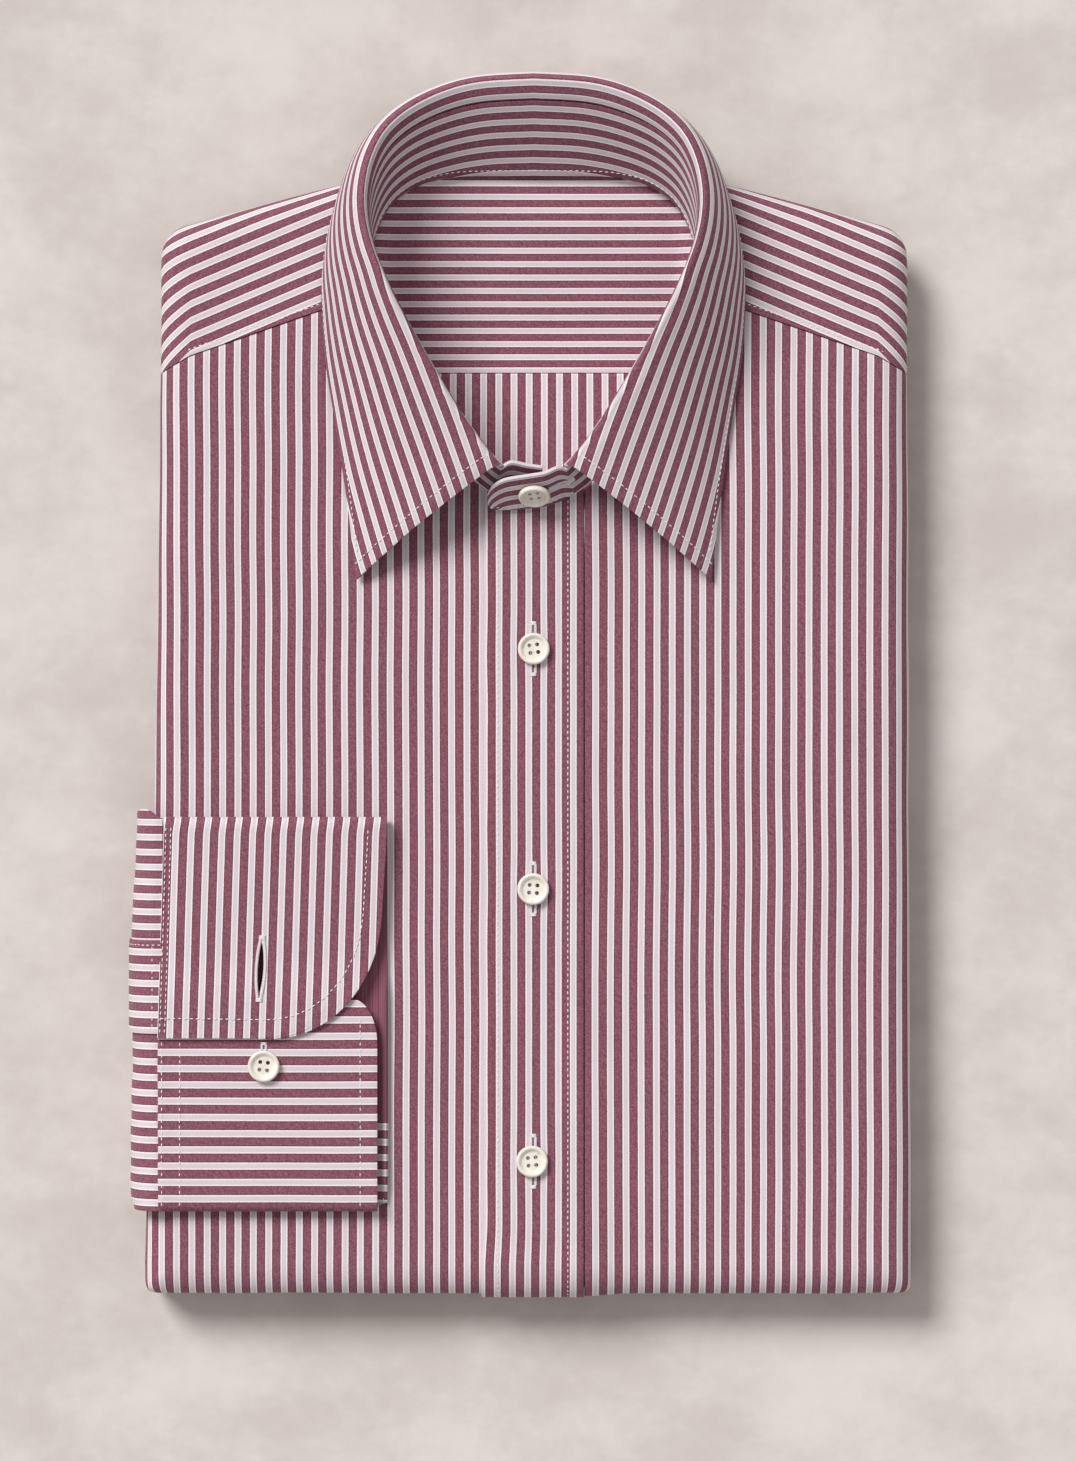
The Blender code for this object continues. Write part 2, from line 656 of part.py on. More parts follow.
def leaf_section(position):
    """Points of the leaf's section, from the seam on the stand over the ridge to the edge."""
    ridge, outer, foot, roll = collar_station(position)
    spread = ((foot - ridge).normalized() + (outer - ridge).normalized()).normalized()
    half_angle = (foot - ridge).angle(outer - ridge) / 2.0
    apex = ridge - spread * ROLL_RADIUS * (1.0 / math.sin(half_angle) - 1.0)
    inward = (foot - apex).normalized()
    outward = (outer - apex).normalized()
    half_angle = inward.angle(outward) / 2.0
    centre = apex + (inward + outward).normalized() * ROLL_RADIUS / math.sin(half_angle)
    tangent = ROLL_RADIUS / math.tan(half_angle)
    start = apex + inward * tangent
    end = apex + outward * tangent
    points = [start + inward * roll]
    for step in range(ROLL_STEPS + 1):
        spoke = (start - centre).slerp(end - centre, step / ROLL_STEPS)
        points.append(centre + spoke)
    bow = (outward * inward.dot(outward) - inward).normalized()
    for share in LEAF_SHARES:
        points.append(end.lerp(outer, share) + bow * LEAF_BULGE * 4.0 * share * (1.0 - share))
    return points, inward, foot


def build_collar_leaf(cloth, collection):
    columns = 2 * LEAF_STATIONS
    rows = ROLL_STEPS + 1 + len(LEAF_SHARES)

    def place(column, row):
        signed = column / LEAF_STATIONS - 1.0
        points, _, _ = leaf_section(abs(signed) * (len(COLLAR) - 1))
        return mirrored(points[row], 1 if signed > 0 else -1)

    cloth_wall("collar_leaf", [(columns, rows, place)], cloth, collection, offset=0.0, flip=True)


STAND_HALF = 22             # steps along half the stand, up to the leaf's front
FRONT_STEP = 12             # the step beyond which the stand runs along the front
STAND_ROWS = 3
LEAF_CLEAR = 0.8            # between the stand's upper edge and the leaf's inner seam
LAP_FADE = (14.0, 4.0)      # distances from the middle between which the lap sets in


def build_collar_stand(cloth, collection):
    lap_steps = len(STAND_END)
    columns = UNDER_LAP_STEPS + 2 * STAND_HALF + lap_steps

    def place(column, row):
        signed = column - STAND_HALF - UNDER_LAP_STEPS
        side = 1 if signed > 0 else -1
        step = abs(signed)
        if step <= STAND_HALF:
            points, inward, foot = leaf_section(step / STAND_HALF * (len(COLLAR) - 1))
            top = points[0] + inward * LEAF_CLEAR
        else:
            section = STAND_END[step - STAND_HALF - 1]
            foot = Vector(section["foot"])
            top = Vector(section["top"])
        point = foot.lerp(top, row / STAND_ROWS)
        lap = LAP_SHIFT * smoothstep(*LAP_FADE, point.x) * side if step > FRONT_STEP else 0.0
        point = point + Vector((0.0, -lap * LAP_OUT[0], lap * LAP_OUT[1]))
        return mirrored(point, side)

    cloth_wall(
        "collar_stand", [(columns, STAND_ROWS, place)], cloth, collection,
        thick=BAND_THICK, offset=0.0, flip=True,
    )


# Cuff and sleeve

# Places of the cuff's rows, as shares of the way along each ply
FLAP_SHARES = (0.0, 0.05, 0.12, 0.22, 0.34, 0.48, 0.64, 0.82, 1.0)
BACK_SHARES = (0.0, 0.33, 0.67, 1.0)
END_SHARES = (0.0, 0.3, 0.55, 0.75, 0.88, 0.96, 1.0)
FOLD_TURNS = (45, 90, 135)
FLAP_FADE = (-2.0, 16.0)    # beyond the button end, where the flap comes down again
CUFF_COLUMNS = 6


def rounded_right(right, corner, end, y, towards):
    """Right edge of a cuff ply whose end has a rounded corner of corner[0] by corner[1]."""
    from_end = (y - end) * towards
    share = min(max(1.0 - from_end / corner[1], 0.0), 1.0)
    return right - corner[0] * (1.0 - math.sqrt(max(1.0 - share * share, 0.0)))


def cuff_path():
    """The cuff's section along Y, from the flap's end round both folds to the button end."""
    low = CUFF_BACK_HEIGHT
    high = CUFF_BACK_HEIGHT + CUFF_PLIES
    radius = CUFF_PLIES / 2.0
    path = []
    for share in FLAP_SHARES:
        y = lerp(FLAP_END, CUFF_TOP - radius, share)
        lowered = smoothstep(BUTTON_END + FLAP_FADE[0], BUTTON_END + FLAP_FADE[1], y)
        lift = FLAP_LIFT * (1.0 - lowered)
        path.append(("flap", y, high + lift))
    for turn in FOLD_TURNS:
        angle = math.radians(turn)
        y = CUFF_TOP - radius + radius * math.sin(angle)
        path.append(("back", y, low + radius + radius * math.cos(angle)))
    for share in BACK_SHARES:
        path.append(("back", lerp(CUFF_TOP - radius, CUFF_BOTTOM + radius, share), low))
    for turn in FOLD_TURNS:
        angle = math.radians(turn)
        y = CUFF_BOTTOM + radius - radius * math.sin(angle)
        path.append(("end", y, low + radius - radius * math.cos(angle)))
    for share in END_SHARES:
        path.append(("end", lerp(CUFF_BOTTOM + radius, BUTTON_END, share), high))
    return path


def build_cuff(cloth, collection):
    path = cuff_path()

    def place(column, row):
        ply, y, z = path[row]
        if ply == "flap":
            right = rounded_right(CUFF_RIGHT, FLAP_CORNER, FLAP_END, y, 1)
        elif ply == "end":
            right = rounded_right(BUTTON_END_RIGHT, END_CORNER, BUTTON_END, y, -1)
        else:
            right = CUFF_RIGHT
        return lerp(CUFF_LEFT, right, column / CUFF_COLUMNS), y, z

    cloth_wall("cuff", [(CUFF_COLUMNS, len(path) - 1, place)], cloth, collection, offset=0.0)


# The sleeve's section: x measured in from its outermost line, and height
SLEEVE_SECTION = (
    {"inset": 10.9, "height": 29.4},
    {"inset": 8.0, "height": 29.2},
    {"inset": 4.6, "height": 27.4},
    {"inset": 1.9, "height": 23.6},
    {"inset": 0.3, "height": 18.0},
    {"inset": 0.0, "height": 12.0},
    {"inset": 0.6, "height": 6.6},
    {"inset": 2.0, "height": 2.8},
    {"inset": 3.8, "height": 1.1},
)


SLEEVE_COLUMNS = 10
SLEEVE_ROWS = 10
GAUNTLET_ROWS = 3
GAUNTLET_SHARE = 0.72       # how much of the sleeve's section the sleeve placket covers
TAPER_RUN = (-92.0, -44.0)  # heights between which the sleeve narrows
TAPER_REACH = (10.0, 4.0)   # insets between which the narrowing sets in
SECTION_STEP = 0.05         # for the direction of the section at a point


def sleeve_point(share, y, lift):
    """Middle of the sleeve's wall: share 0 at the cuff seam, 1 under the side."""
    points = [Vector((row["inset"], row["height"])) for row in SLEEVE_SECTION]
    position = share * (len(points) - 1)
    here = curve_through(points, position)
    ahead = curve_through(points, min(position + SECTION_STEP, len(points) - 1.0))
    behind = curve_through(points, max(position - SECTION_STEP, 0.0))
    run = (ahead - behind).normalized()
    outward = Vector((run.y, -run.x))
    here = here + outward * lift
    taper = SLEEVE_TAPER * smoothstep(*TAPER_RUN, y) * smoothstep(*TAPER_REACH, here.x)
    return SLEEVE_OUT + taper + here.x, here.y


def build_sleeve(cloth, collection):
    def place(column, row):
        share = 1.0 - column / SLEEVE_COLUMNS
        top = lerp(SLEEVE_TOP[0], SLEEVE_TOP[1], 1.0 - share)
        y = lerp(SLEEVE_BOTTOM, top, row / SLEEVE_ROWS)
        x, z = sleeve_point(share, y, 0.0)
        return x, y, z

    def gauntlet(column, row):
        share = 1.0 - column / SLEEVE_COLUMNS
        y = lerp(GAUNTLET[1], GAUNTLET[0], row / GAUNTLET_ROWS)
        lift = SLEEVE_THICK / 2.0 + GAP + CLOTH / 2.0
        x, z = sleeve_point(share * GAUNTLET_SHARE, y, lift)
        return x, y, z

    cloth_wall(
        "sleeve", [(SLEEVE_COLUMNS, SLEEVE_ROWS, place)], cloth, collection,
        thick=SLEEVE_THICK, offset=0.0,
    )
    cloth_wall(
        "sleeve_placket", [(SLEEVE_COLUMNS, GAUNTLET_ROWS, gauntlet)], cloth, collection,
        offset=0.0,
    )


# Buttons

BUTTON_PROFILE = (
    (0.0, 1.35), (3.7, 1.35), (4.5, 2.3), (5.1, 2.3), (5.7, 1.7), (5.7, 0.6), (4.9, 0.0), (0.0, 0.0),
)
BUTTON_STEPS = 24
HOLE_RADIUS = 0.65
HOLE_OFFSET = 1.25
HOLE_STEPS = 8
DRILL_LENGTH = 6.0
DRILL_MIDDLE = 1.0


def button_mesh(collection):
    """A turned button with a rim and four holes, its underside at the origin."""
    profile = bpy.data.meshes.new("button_profile")
    points = [(radius * MM, 0.0, height * MM) for radius, height in BUTTON_PROFILE]
    edges = [(index, index + 1) for index in range(len(points) - 1)]
    profile.from_pydata(points, edges, [])
    blank = bpy.data.objects.new("button_blank", profile)
    collection.objects.link(blank)
    screw = blank.modifiers.new("Turn", "SCREW")
    screw.steps = BUTTON_STEPS
    screw.render_steps = BUTTON_STEPS
    screw.use_merge_vertices = True
    screw.merge_threshold = MERGE * MM
    drill = bmesh.new()
    for sign_x in (-1, 1):
        for sign_y in (-1, 1):
            made = bmesh.ops.create_cone(
                drill, cap_ends=True, segments=HOLE_STEPS,
                radius1=HOLE_RADIUS * MM, radius2=HOLE_RADIUS * MM, depth=DRILL_LENGTH * MM,
            )
            offset = Vector((sign_x * HOLE_OFFSET, sign_y * HOLE_OFFSET, DRILL_MIDDLE))
            bmesh.ops.translate(drill, verts=made["verts"], vec=offset * MM)
    drill_mesh = bpy.data.meshes.new("button_drill")
    drill.to_mesh(drill_mesh)
    drill.free()
    cutter = bpy.data.objects.new("button_drill", drill_mesh)
    collection.objects.link(cutter)
    holes = blank.modifiers.new("Holes", "BOOLEAN")
    holes.operation = "DIFFERENCE"
    holes.solver = "EXACT"
    holes.object = cutter
    depsgraph = bpy.context.evaluated_depsgraph_get()
    mesh = bpy.data.meshes.new_from_object(blank.evaluated_get(depsgraph))
    bpy.data.objects.remove(blank)
    bpy.data.objects.remove(cutter)
    return mesh


def build_buttons(pearl, collection):
    mesh = button_mesh(collection)
    placket_top = FRONT_TOP + CLOTH + GAP
    seats = {
        name: (Vector((CENTRE_X, y, placket_top + GAP)), 0.0)
        for name, y in FRONT_BUTTONS.items()
    }
    cuff_top = CUFF_BACK_HEIGHT + CUFF_PLIES + CLOTH / 2.0
    seats["button_cuff"] = (Vector((*CUFF_BUTTON, cuff_top + GAP)), 0.0)
    seats["button_collar"] = (
        Vector((*COLLAR_BUTTON, COLLAR_BUTTON_HEIGHT)), math.radians(COLLAR_BUTTON_TILT),
    )
    for name, (seat, tilt) in seats.items():
        button = finish_object(name, mesh, pearl, collection)
        button.location = Vector((seat.x + SHIFT[0], seat.y + SHIFT[1], seat.z)) * MM
        button.rotation_euler = (tilt, 0.0, 0.0)


def main():
    for obj in list(bpy.data.objects):
        bpy.data.objects.remove(obj)
    shirt = new_collection("Folded dress shirt")
    cutters = new_collection("Cutters")
    cloth = make_material("Striped cotton", (0.52, 0.36, 0.43), 0.85)
    inner = make_material("Striped cotton, inside", (0.46, 0.32, 0.38), 0.88)
    hidden = make_material("Striped cotton, hidden layers", (0.42, 0.29, 0.35), 0.9)
    pearl = make_material("Button", (0.84, 0.79, 0.68), 0.3)
    build_core(hidden, shirt, cutters)
    build_fronts(cloth, shirt)
    build_placket(cloth, shirt)
    build_yoke(cloth, shirt)
    build_inside(inner, shirt)
    build_collar_stand(cloth, shirt)
    build_collar_leaf(cloth, shirt)
    build_cuff(cloth, shirt)
    build_sleeve(cloth, shirt)
    build_buttons(pearl, shirt)


main()
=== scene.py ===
# Folded striped dress shirt, lying front up under a soft studio light.
# Lengths are in millimetres until toFrame() places them in the frame, in metres.

import math

import bmesh
import bpy
from mathutils import Matrix, Vector, noise


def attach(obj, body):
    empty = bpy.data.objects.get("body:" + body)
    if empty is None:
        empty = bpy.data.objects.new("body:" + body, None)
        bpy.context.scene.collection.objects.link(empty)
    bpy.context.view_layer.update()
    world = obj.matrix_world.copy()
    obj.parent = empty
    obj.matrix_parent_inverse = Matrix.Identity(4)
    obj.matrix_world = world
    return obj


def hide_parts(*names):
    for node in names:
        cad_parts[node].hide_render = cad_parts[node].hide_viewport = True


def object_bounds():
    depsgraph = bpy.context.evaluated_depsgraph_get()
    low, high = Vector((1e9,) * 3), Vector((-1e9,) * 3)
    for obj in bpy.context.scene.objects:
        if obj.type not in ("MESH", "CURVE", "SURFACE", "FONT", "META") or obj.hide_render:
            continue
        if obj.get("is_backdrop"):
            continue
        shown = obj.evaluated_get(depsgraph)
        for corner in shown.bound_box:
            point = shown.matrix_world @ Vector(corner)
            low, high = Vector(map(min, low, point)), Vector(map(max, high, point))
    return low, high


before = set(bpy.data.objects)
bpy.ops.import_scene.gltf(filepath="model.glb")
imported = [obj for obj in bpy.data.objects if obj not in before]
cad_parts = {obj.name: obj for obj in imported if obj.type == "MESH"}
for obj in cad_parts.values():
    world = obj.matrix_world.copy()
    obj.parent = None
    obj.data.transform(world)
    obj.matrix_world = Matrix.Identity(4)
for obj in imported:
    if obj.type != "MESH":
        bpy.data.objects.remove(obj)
cadLow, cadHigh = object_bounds()
print("frame loaded")

mm = 0.001

bundle = {
    "shift": (0.86, 1.72),       # from the shirt's own middle line to the frame's origin
    "cloth": 1.1,                # wall of one layer
    "gap": 0.3,
    "centreX": 4.3,              # the line of the buttons
    "hemY": -216.7,
    "topZ": 25.0,
    "edgeTop": 154.0, "edgeRun": 369.0,   # where the long sides start, and their length
    "leftEdge": (-128.3, -2.7, -3.4),     # x there, and how the side runs out to the hem
    "rightEdge": (137.4, 0.8, 0.8),
    "widening": (60.0, 120.0),
    "edgeReach": 11.0,           # rounding of the side folds
    "underReach": 6.0,
    "lobeMid": 17.0,
    "lobeRise": 8.0,
    "foldTurn": 148.0,           # degrees the cloth turns round a fold
    "seamNeck": (58.0, 139.2),
    "seamSideY": 111.0,
    "seamDroop": 6.0,
    "shoulderSlope": 0.273,
    "shoulderStart": (65.0, 179.9),
    "neckBackY": 188.5, "neckBlend": 5.0,
    "shoulderCorner": 12.0,
    "cornerPower": 6.0,          # squareness of the bottom corners
    "wave": 0.3,                 # how far the cloth rises and falls
    "sideWave": 0.5,             # how far the side folds run in and out
    "drift": 0.4,                # how far the stripes wander sideways
}

neckSeam = (
    (0.0, 64.0), (10.0, 66.0), (20.0, 72.0), (30.0, 82.0), (40.0, 97.0), (50.0, 117.0),
    (57.5, 137.0), (58.0, 152.0), (52.5, 168.5), (43.0, 176.5), (30.0, 180.2),
    (15.0, 180.8), (0.0, 180.8),
)
neckWidest = 7                   # the row where the back half starts
neckFacing = 50.0


def lerp(start, end, share):
    return start + (end - start) * share


def ease(low, high, value):
    share = min(max((value - low) / (high - low), 0.0), 1.0)
    return share * share * (3.0 - 2.0 * share)


def curveThrough(points, position):  # smooth through the points, counted 0, 1, 2, ...
    last = len(points) - 1
    index = min(max(int(math.floor(position)), 0), last - 1)
    share = position - index
    before, start = points[max(index - 1, 0)], points[index]
    end, after = points[index + 1], points[min(index + 2, last)]
    square, cube = share * share, share * share * share
    return (
        start * (2 * cube - 3 * square + 1)
        + (end - before) * (0.5 * (cube - 2 * square + share))
        + end * (3 * square - 2 * cube)
        + (after - start) * (0.5 * (cube - square))
    )


def uneven(x, y, seed):  # a smooth random height there, between -1 and 1
    return noise.noise(Vector((x, y, seed)))


def toFrame(x, y, z):
    return Vector((x + bundle["shift"][0], y + bundle["shift"][1], z)) * mm


# The body's outline and how the cloth lies on it

def plainEdge(side, y):
    start, straight, bowed = bundle["rightEdge" if side > 0 else "leftEdge"]
    share = (bundle["edgeTop"] - y) / bundle["edgeRun"]
    return start + straight * share + bowed * share * share


def sideDrift(side, y):
    return uneven(side * 7.0, y / 46.0, 1.5) * bundle["sideWave"]


def sideEdge(side, y):
    return plainEdge(side, y) + sideDrift(side, y)


def widened(side, y, off):  # distance from the middle: the left edge lies further out
    if side > 0:
        return off
    more = (bundle["centreX"] - plainEdge(-1, y)) - (plainEdge(1, y) - bundle["centreX"])
    return off + more * ease(*bundle["widening"], off)


def shoulderLine(x):
    startOff, startY = bundle["shoulderStart"]
    top, soft = bundle["neckBackY"], bundle["neckBlend"]
    slope = startY - (abs(x - bundle["centreX"]) - startOff) * bundle["shoulderSlope"]
    return top - soft * math.log1p(math.exp((top - slope) / soft))


def readLine(points, key, value, otherwise):  # the line's other coordinate at this value
    for pair in zip(points, points[1:]):
        low, high = sorted(pair, key=lambda point: point[key])
        if low[key] <= value <= high[key] and high[key] > low[key]:
            return lerp(low[1 - key], high[1 - key], (value - low[key]) / (high[key] - low[key]))
    return otherwise


def neckHalf(y):  # half the width of the neck hole at this height
    return readLine(neckSeam, 1, y, 0.0)


def neckFront(off):
    return readLine(neckSeam[:neckWidest + 1], 0, off, bundle["seamNeck"][1])


def neckBack(off):
    return readLine(neckSeam[neckWidest:], 0, off, neckSeam[-1][1])


def foldLevel(angle, lift, under):  # inset and height round a side fold
    turn = math.radians(angle)
    grown = bundle["edgeReach"] + lift if angle <= 90 else (bundle["underReach"] + lift) * under
    rise = (bundle["lobeRise"] + lift) * math.cos(turn)
    return grown * (1.0 - math.sin(turn)) - lift, bundle["lobeMid"] + rise


# Soft creases: start, end, half width and rise, on the fronts
creases = (
    ((-118.0, -30.0), (-62.0, -41.0), 9.0, 0.5),
    ((-36.0, -60.0), (-42.0, -190.0), 11.0, 0.45),
    ((-44.0, 20.0), (-30.0, -80.0), 12.0, -0.35),
    ((-112.0, 60.0), (-70.0, 20.0), 13.0, 0.4),
    ((-98.0, 108.0), (-60.0, 92.0), 8.0, -0.35),
    ((40.0, 30.0), (46.0, -90.0), 12.0, 0.4),
    ((92.0, 70.0), (76.0, -20.0), 15.0, -0.4),
    ((112.0, 10.0), (104.0, -120.0), 13.0, 0.45),
    ((62.0, -110.0), (72.0, -200.0), 12.0, 0.4),
    ((30.0, -150.0), (120.0, -172.0), 10.0, -0.25),
    ((84.0, 108.0), (112.0, 84.0), 9.0, 0.35),
    ((-20.0, -198.0), (60.0, -203.0), 6.0, -0.3),
)


def creaseRise(x, y):
    total = 0.0
    for start, end, width, rise in creases:
        run = Vector(end) - Vector(start)
        off = Vector((x, y)) - Vector(start)
        share = min(max(off.dot(run) / run.length_squared, -0.15), 1.15)
        away = (off - run * share).length / width
        fade = ease(-0.15, 0.25, share) * (1.0 - ease(0.75, 1.15, share))
        total += rise * fade * math.exp(-away * away)
    return total


def waveAt(x, y):  # the cloth's own unevenness
    broad = uneven(x / 38.0, y / 61.0, 0.3)
    fine = uneven(x / 11.0, y / 17.0, 4.7)
    return bundle["wave"] * (broad + 0.35 * fine)


def driftAt(x, y):
    return bundle["drift"] * uneven(x / 90.0, y / 42.0, 9.1)


# Making meshes

def meshFrom(made, name):
    mesh = bpy.data.meshes.new(name)
    made.to_mesh(mesh)
    made.free()
    return mesh


def sheetMesh(name, patches, facing=None, hole=None):
    # Each patch is columns, rows and place(column, row), which gives x, y, z, u, v.
    made = bmesh.new()
    uvs = made.loops.layers.uv.new("cloth")
    for columns, rows, place in patches:
        grid = bmesh.ops.create_grid(made, x_segments=columns, y_segments=rows, size=1.0)
        spots = {}
        for vertex in grid["verts"]:
            column = round((vertex.co.x + 1.0) * 0.5 * columns)
            row = round((vertex.co.y + 1.0) * 0.5 * rows)
            x, y, z, u, v = place(column, row)
            vertex.co = toFrame(x, y, z)
            spots[vertex] = (u * mm, v * mm)
        for face in {face for vertex in grid["verts"] for face in vertex.link_faces}:
            for loop in face.loops:
                loop[uvs].uv = spots[loop.vert]
    bmesh.ops.remove_doubles(made, verts=made.verts[:], dist=0.02 * mm)
    if hole:
        opened = [face for face in made.faces if hole(face.calc_center_median())]
        bmesh.ops.delete(made, geom=opened, context="FACES")
    bmesh.ops.recalc_face_normals(made, faces=made.faces[:])
    if facing:
        out = sum(face.normal.dot(Vector(facing)) * face.calc_area() for face in made.faces)
        if out < 0:
            bmesh.ops.reverse_faces(made, faces=made.faces[:])
    return meshFrom(made, name)


def putObject(name, mesh, look):
    piece = bpy.data.objects.new(name, mesh)
    bpy.context.scene.collection.objects.link(piece)
    mesh.materials.append(look)
    mesh.shade_smooth()
    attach(piece, "root")
    return piece


def layCloth(name, patches, look, thick=None, offset=-1.0, facing=(0, 0, 1), hole=None):
    mesh = sheetMesh(name, patches, facing, hole)
    piece = putObject(name, mesh, look)
    wall = piece.modifiers.new("Wall", "SOLIDIFY")
    wall.thickness = (thick or bundle["cloth"]) * mm
    wall.offset = offset
    wall.use_quality_normals = True
    edge = piece.modifiers.new("Soft edge", "BEVEL")
    edge.width = 0.28 * mm
    edge.segments = 2
    edge.limit_method = "ANGLE"
    edge.angle_limit = math.radians(60)
    area = sum(face.area for face in mesh.polygons)
    print(f"{name}: {len(mesh.polygons)} faces, {area * 1e4:.0f} cm2")
    return piece


# Looks

class Wire:  # one output of a shader node; the operators add Math nodes
    def __init__(self, look, socket):
        self.look = look
        self.socket = socket

    def __add__(self, other):
        return self.look.sums("ADD", self, other)

    def __radd__(self, other):
        return self.look.sums("ADD", other, self)

    def __sub__(self, other):
        return self.look.sums("SUBTRACT", self, other)

    def __rsub__(self, other):
        return self.look.sums("SUBTRACT", other, self)

    def __mul__(self, other):
        return self.look.sums("MULTIPLY", self, other)

    def __rmul__(self, other):
        return self.look.sums("MULTIPLY", other, self)

    def __truediv__(self, other):
        return self.look.sums("DIVIDE", self, other)


class Look:
    def __init__(self, name, fixed):
        self.material = bpy.data.materials.new(name)
        self.material.use_nodes = True
        self.tree = self.material.node_tree
        self.shader = self.tree.nodes["Principled BSDF"]
        for socket, value in fixed.items():
            self.shader.inputs[socket].default_value = value

    def feed(self, socket, value):
        if isinstance(value, Wire):
            self.tree.links.new(value.socket, socket)
        else:
            socket.default_value = value

    def node(self, kind, settings, values, output=0):
        made = self.tree.nodes.new("ShaderNode" + kind)
        for name, value in settings.items():
            setattr(made, name, value)
        for name, value in values.items():
            self.feed(made.inputs[name], value)
        return Wire(self, made.outputs[output])

    def sums(self, operation, first, second=0.0):
        return self.node("Math", {"operation": operation}, {0: first, 1: second})

    def inMillimetres(self, values):  # x and y of a vector
        parts = self.tree.nodes.new("ShaderNodeSeparateXYZ")
        self.feed(parts.inputs[0], values)
        return [Wire(self, parts.outputs[index]) * (1.0 / mm) for index in (0, 1)]

    def soft(self, value, low, high):  # 0 below low, 1 above high, smooth between
        return self.node(
            "MapRange", {"interpolation_type": "SMOOTHSTEP"},
            {"Value": value, "From Min": low, "From Max": high},
        )

    def blend(self, share, first, second):
        return self.node("Mix", {"data_type": "RGBA"}, {0: share, 6: first, 7: second}, output=2)

    def place(self, x, y, z=0.0):
        return self.node("CombineXYZ", {}, {"X": x, "Y": y, "Z": z})

    def grain(self, at, scale, detail=2.0, rough=0.5):
        return self.node("TexNoise", {}, {
            "Vector": at, "Scale": scale, "Detail": detail, "Roughness": rough,
        })

    def show(self, socket, value):
        self.feed(self.shader.inputs[socket], value)

    def bump(self, height, distance, strength):
        return self.node("Bump", {}, {"Height": height, "Distance": distance, "Strength": strength})


stripes = {
    "pitch": 5.43,                              # one maroon and one white stripe
    "half": 0.277,                              # half the maroon's share of the pitch
    "maroon": (0.238, 0.078, 0.118, 1.0),
    "maroonDeep": (0.135, 0.034, 0.060, 1.0),   # darker threads
    "maroonPale": (0.350, 0.150, 0.198, 1.0),   # the white threads that show through
    "maroonPaintedShade": (0.105, 0.013, 0.032, 1.0),    # painted shade along the rims of the maroon stripes
    "white": (0.690, 0.605, 0.650, 1.0),
    "whitePaintedHighlight": (0.880, 0.860, 0.905, 1.0),  # painted highlight along the rims of the white stripes
    "whiteShade": (0.590, 0.505, 0.550, 1.0),
    "jitter": 0.24,                             # how far the stripes' rims waver, mm
    "soften": 0.012,                            # this and the bands in shares of the pitch
    "paintedShadeBand": (0.075, 0.030), "paintedHighlightBand": (0.040, 0.120),
    "twill": (0.82, 0.57),                      # the way that the flecks slant
    "fleckGrain": (2.7, 1.05), "mottleGrain": (0.75, 0.5), "broadGrain": (0.04, 0.03),
    "ribTurn": 9.5, "ribSlant": 0.55,
    "weaveDepth": 0.05,
    "roughness": 0.86,
    "sheen": 0.12,
}


def stripedLook(name, centre, pitch=None, paintedLight=1.0):
    # Maroon lies where u is centre, or one or more pitches away.
    look = Look(name, {
        "Sheen Weight": stripes["sheen"], "Sheen Roughness": 0.5,
        "Specular IOR Level": 0.25, "IOR": 1.45,
    })
    across, along = look.inMillimetres(look.node("UVMap", {"uv_map": "cloth"}, {}))
    fuzz = look.grain(look.place(across * 1.2, along * 2.6), 1.0, 1.0)
    jitter = (fuzz - 0.5) * stripes["jitter"]
    step = (across + jitter - centre) / (pitch or stripes["pitch"]) + 0.5
    middle = look.sums("ABSOLUTE", look.sums("FRACT", step) - 0.5)  # 0 in the maroon's middle
    half, soften = stripes["half"], stripes["soften"]
    isWhite = look.soft(middle, half - soften, half + soften)
    # Painted shade: a dark line along the rims of the maroon stripes (rim); painted highlight: a
    # bright line along the rims of the white stripes.
    low, high = stripes["paintedShadeBand"]
    rim = look.soft(middle, half - low, half - high) * (1.0 - isWhite)
    low, high = stripes["paintedHighlightBand"]
    paintedHighlightRim = (1.0 - look.soft(middle, half + low, half + high)) * isWhite
    # The twill shows as fine slanting flecks, and as a broader mottling.
    cos, sin = stripes["twill"]
    thin, drawn = stripes["fleckGrain"]
    slant = look.place((across * cos - along * sin) * thin, (across * sin + along * cos) * drawn)
    fleck = look.grain(slant, 1.0, 2.0, 0.6)
    thin, drawn = stripes["mottleGrain"]
    mottle = look.grain(look.place(across * thin, along * drawn), 1.0, 2.0, 0.55)
    thin, drawn = stripes["broadGrain"]
    broad = look.grain(look.place(across * thin, along * drawn), 1.0, 2.0)
    mix = fleck * 0.72 + mottle * 0.28
    maroon = look.blend(look.soft(mix, 0.36, 0.66), stripes["maroonDeep"], stripes["maroonPale"])
    maroon = look.blend(0.35, maroon, stripes["maroon"])
    # The painted shade goes along the maroon rims, the painted highlight along the white rims.
    maroon = look.blend(rim * 0.75, maroon, stripes["maroonPaintedShade"])
    white = look.blend(look.soft(mix, 0.38, 0.7) * 0.5, stripes["white"], stripes["whiteShade"])
    white = look.blend(paintedHighlightRim * 0.85, white, stripes["whitePaintedHighlight"])
    cloth = look.blend(isWhite, maroon, white)
    # Broad tone that varies at random, times the piece's factor, which is painted light that
    # brightens or darkens the whole piece.
    shade = (0.93 + 0.12 * broad) * paintedLight
    cloth = look.node("VectorMath", {"operation": "SCALE"}, {0: cloth, "Scale": shade})
    look.show("Base Color", cloth)
    look.show("Roughness", stripes["roughness"] + (mottle - 0.5) * 0.12)
    turn = (across + along * stripes["ribSlant"]) * stripes["ribTurn"]
    ribs = look.sums("SINE", turn) * 0.25 + fleck
    look.show("Normal", look.bump(ribs, stripes["weaveDepth"] * mm, 0.55))
    return look.material


threads = {
    "colour": (0.90, 0.86, 0.87, 1.0),
    "shade": (0.72, 0.65, 0.68, 1.0),
    "twistPitch": 0.34,
}


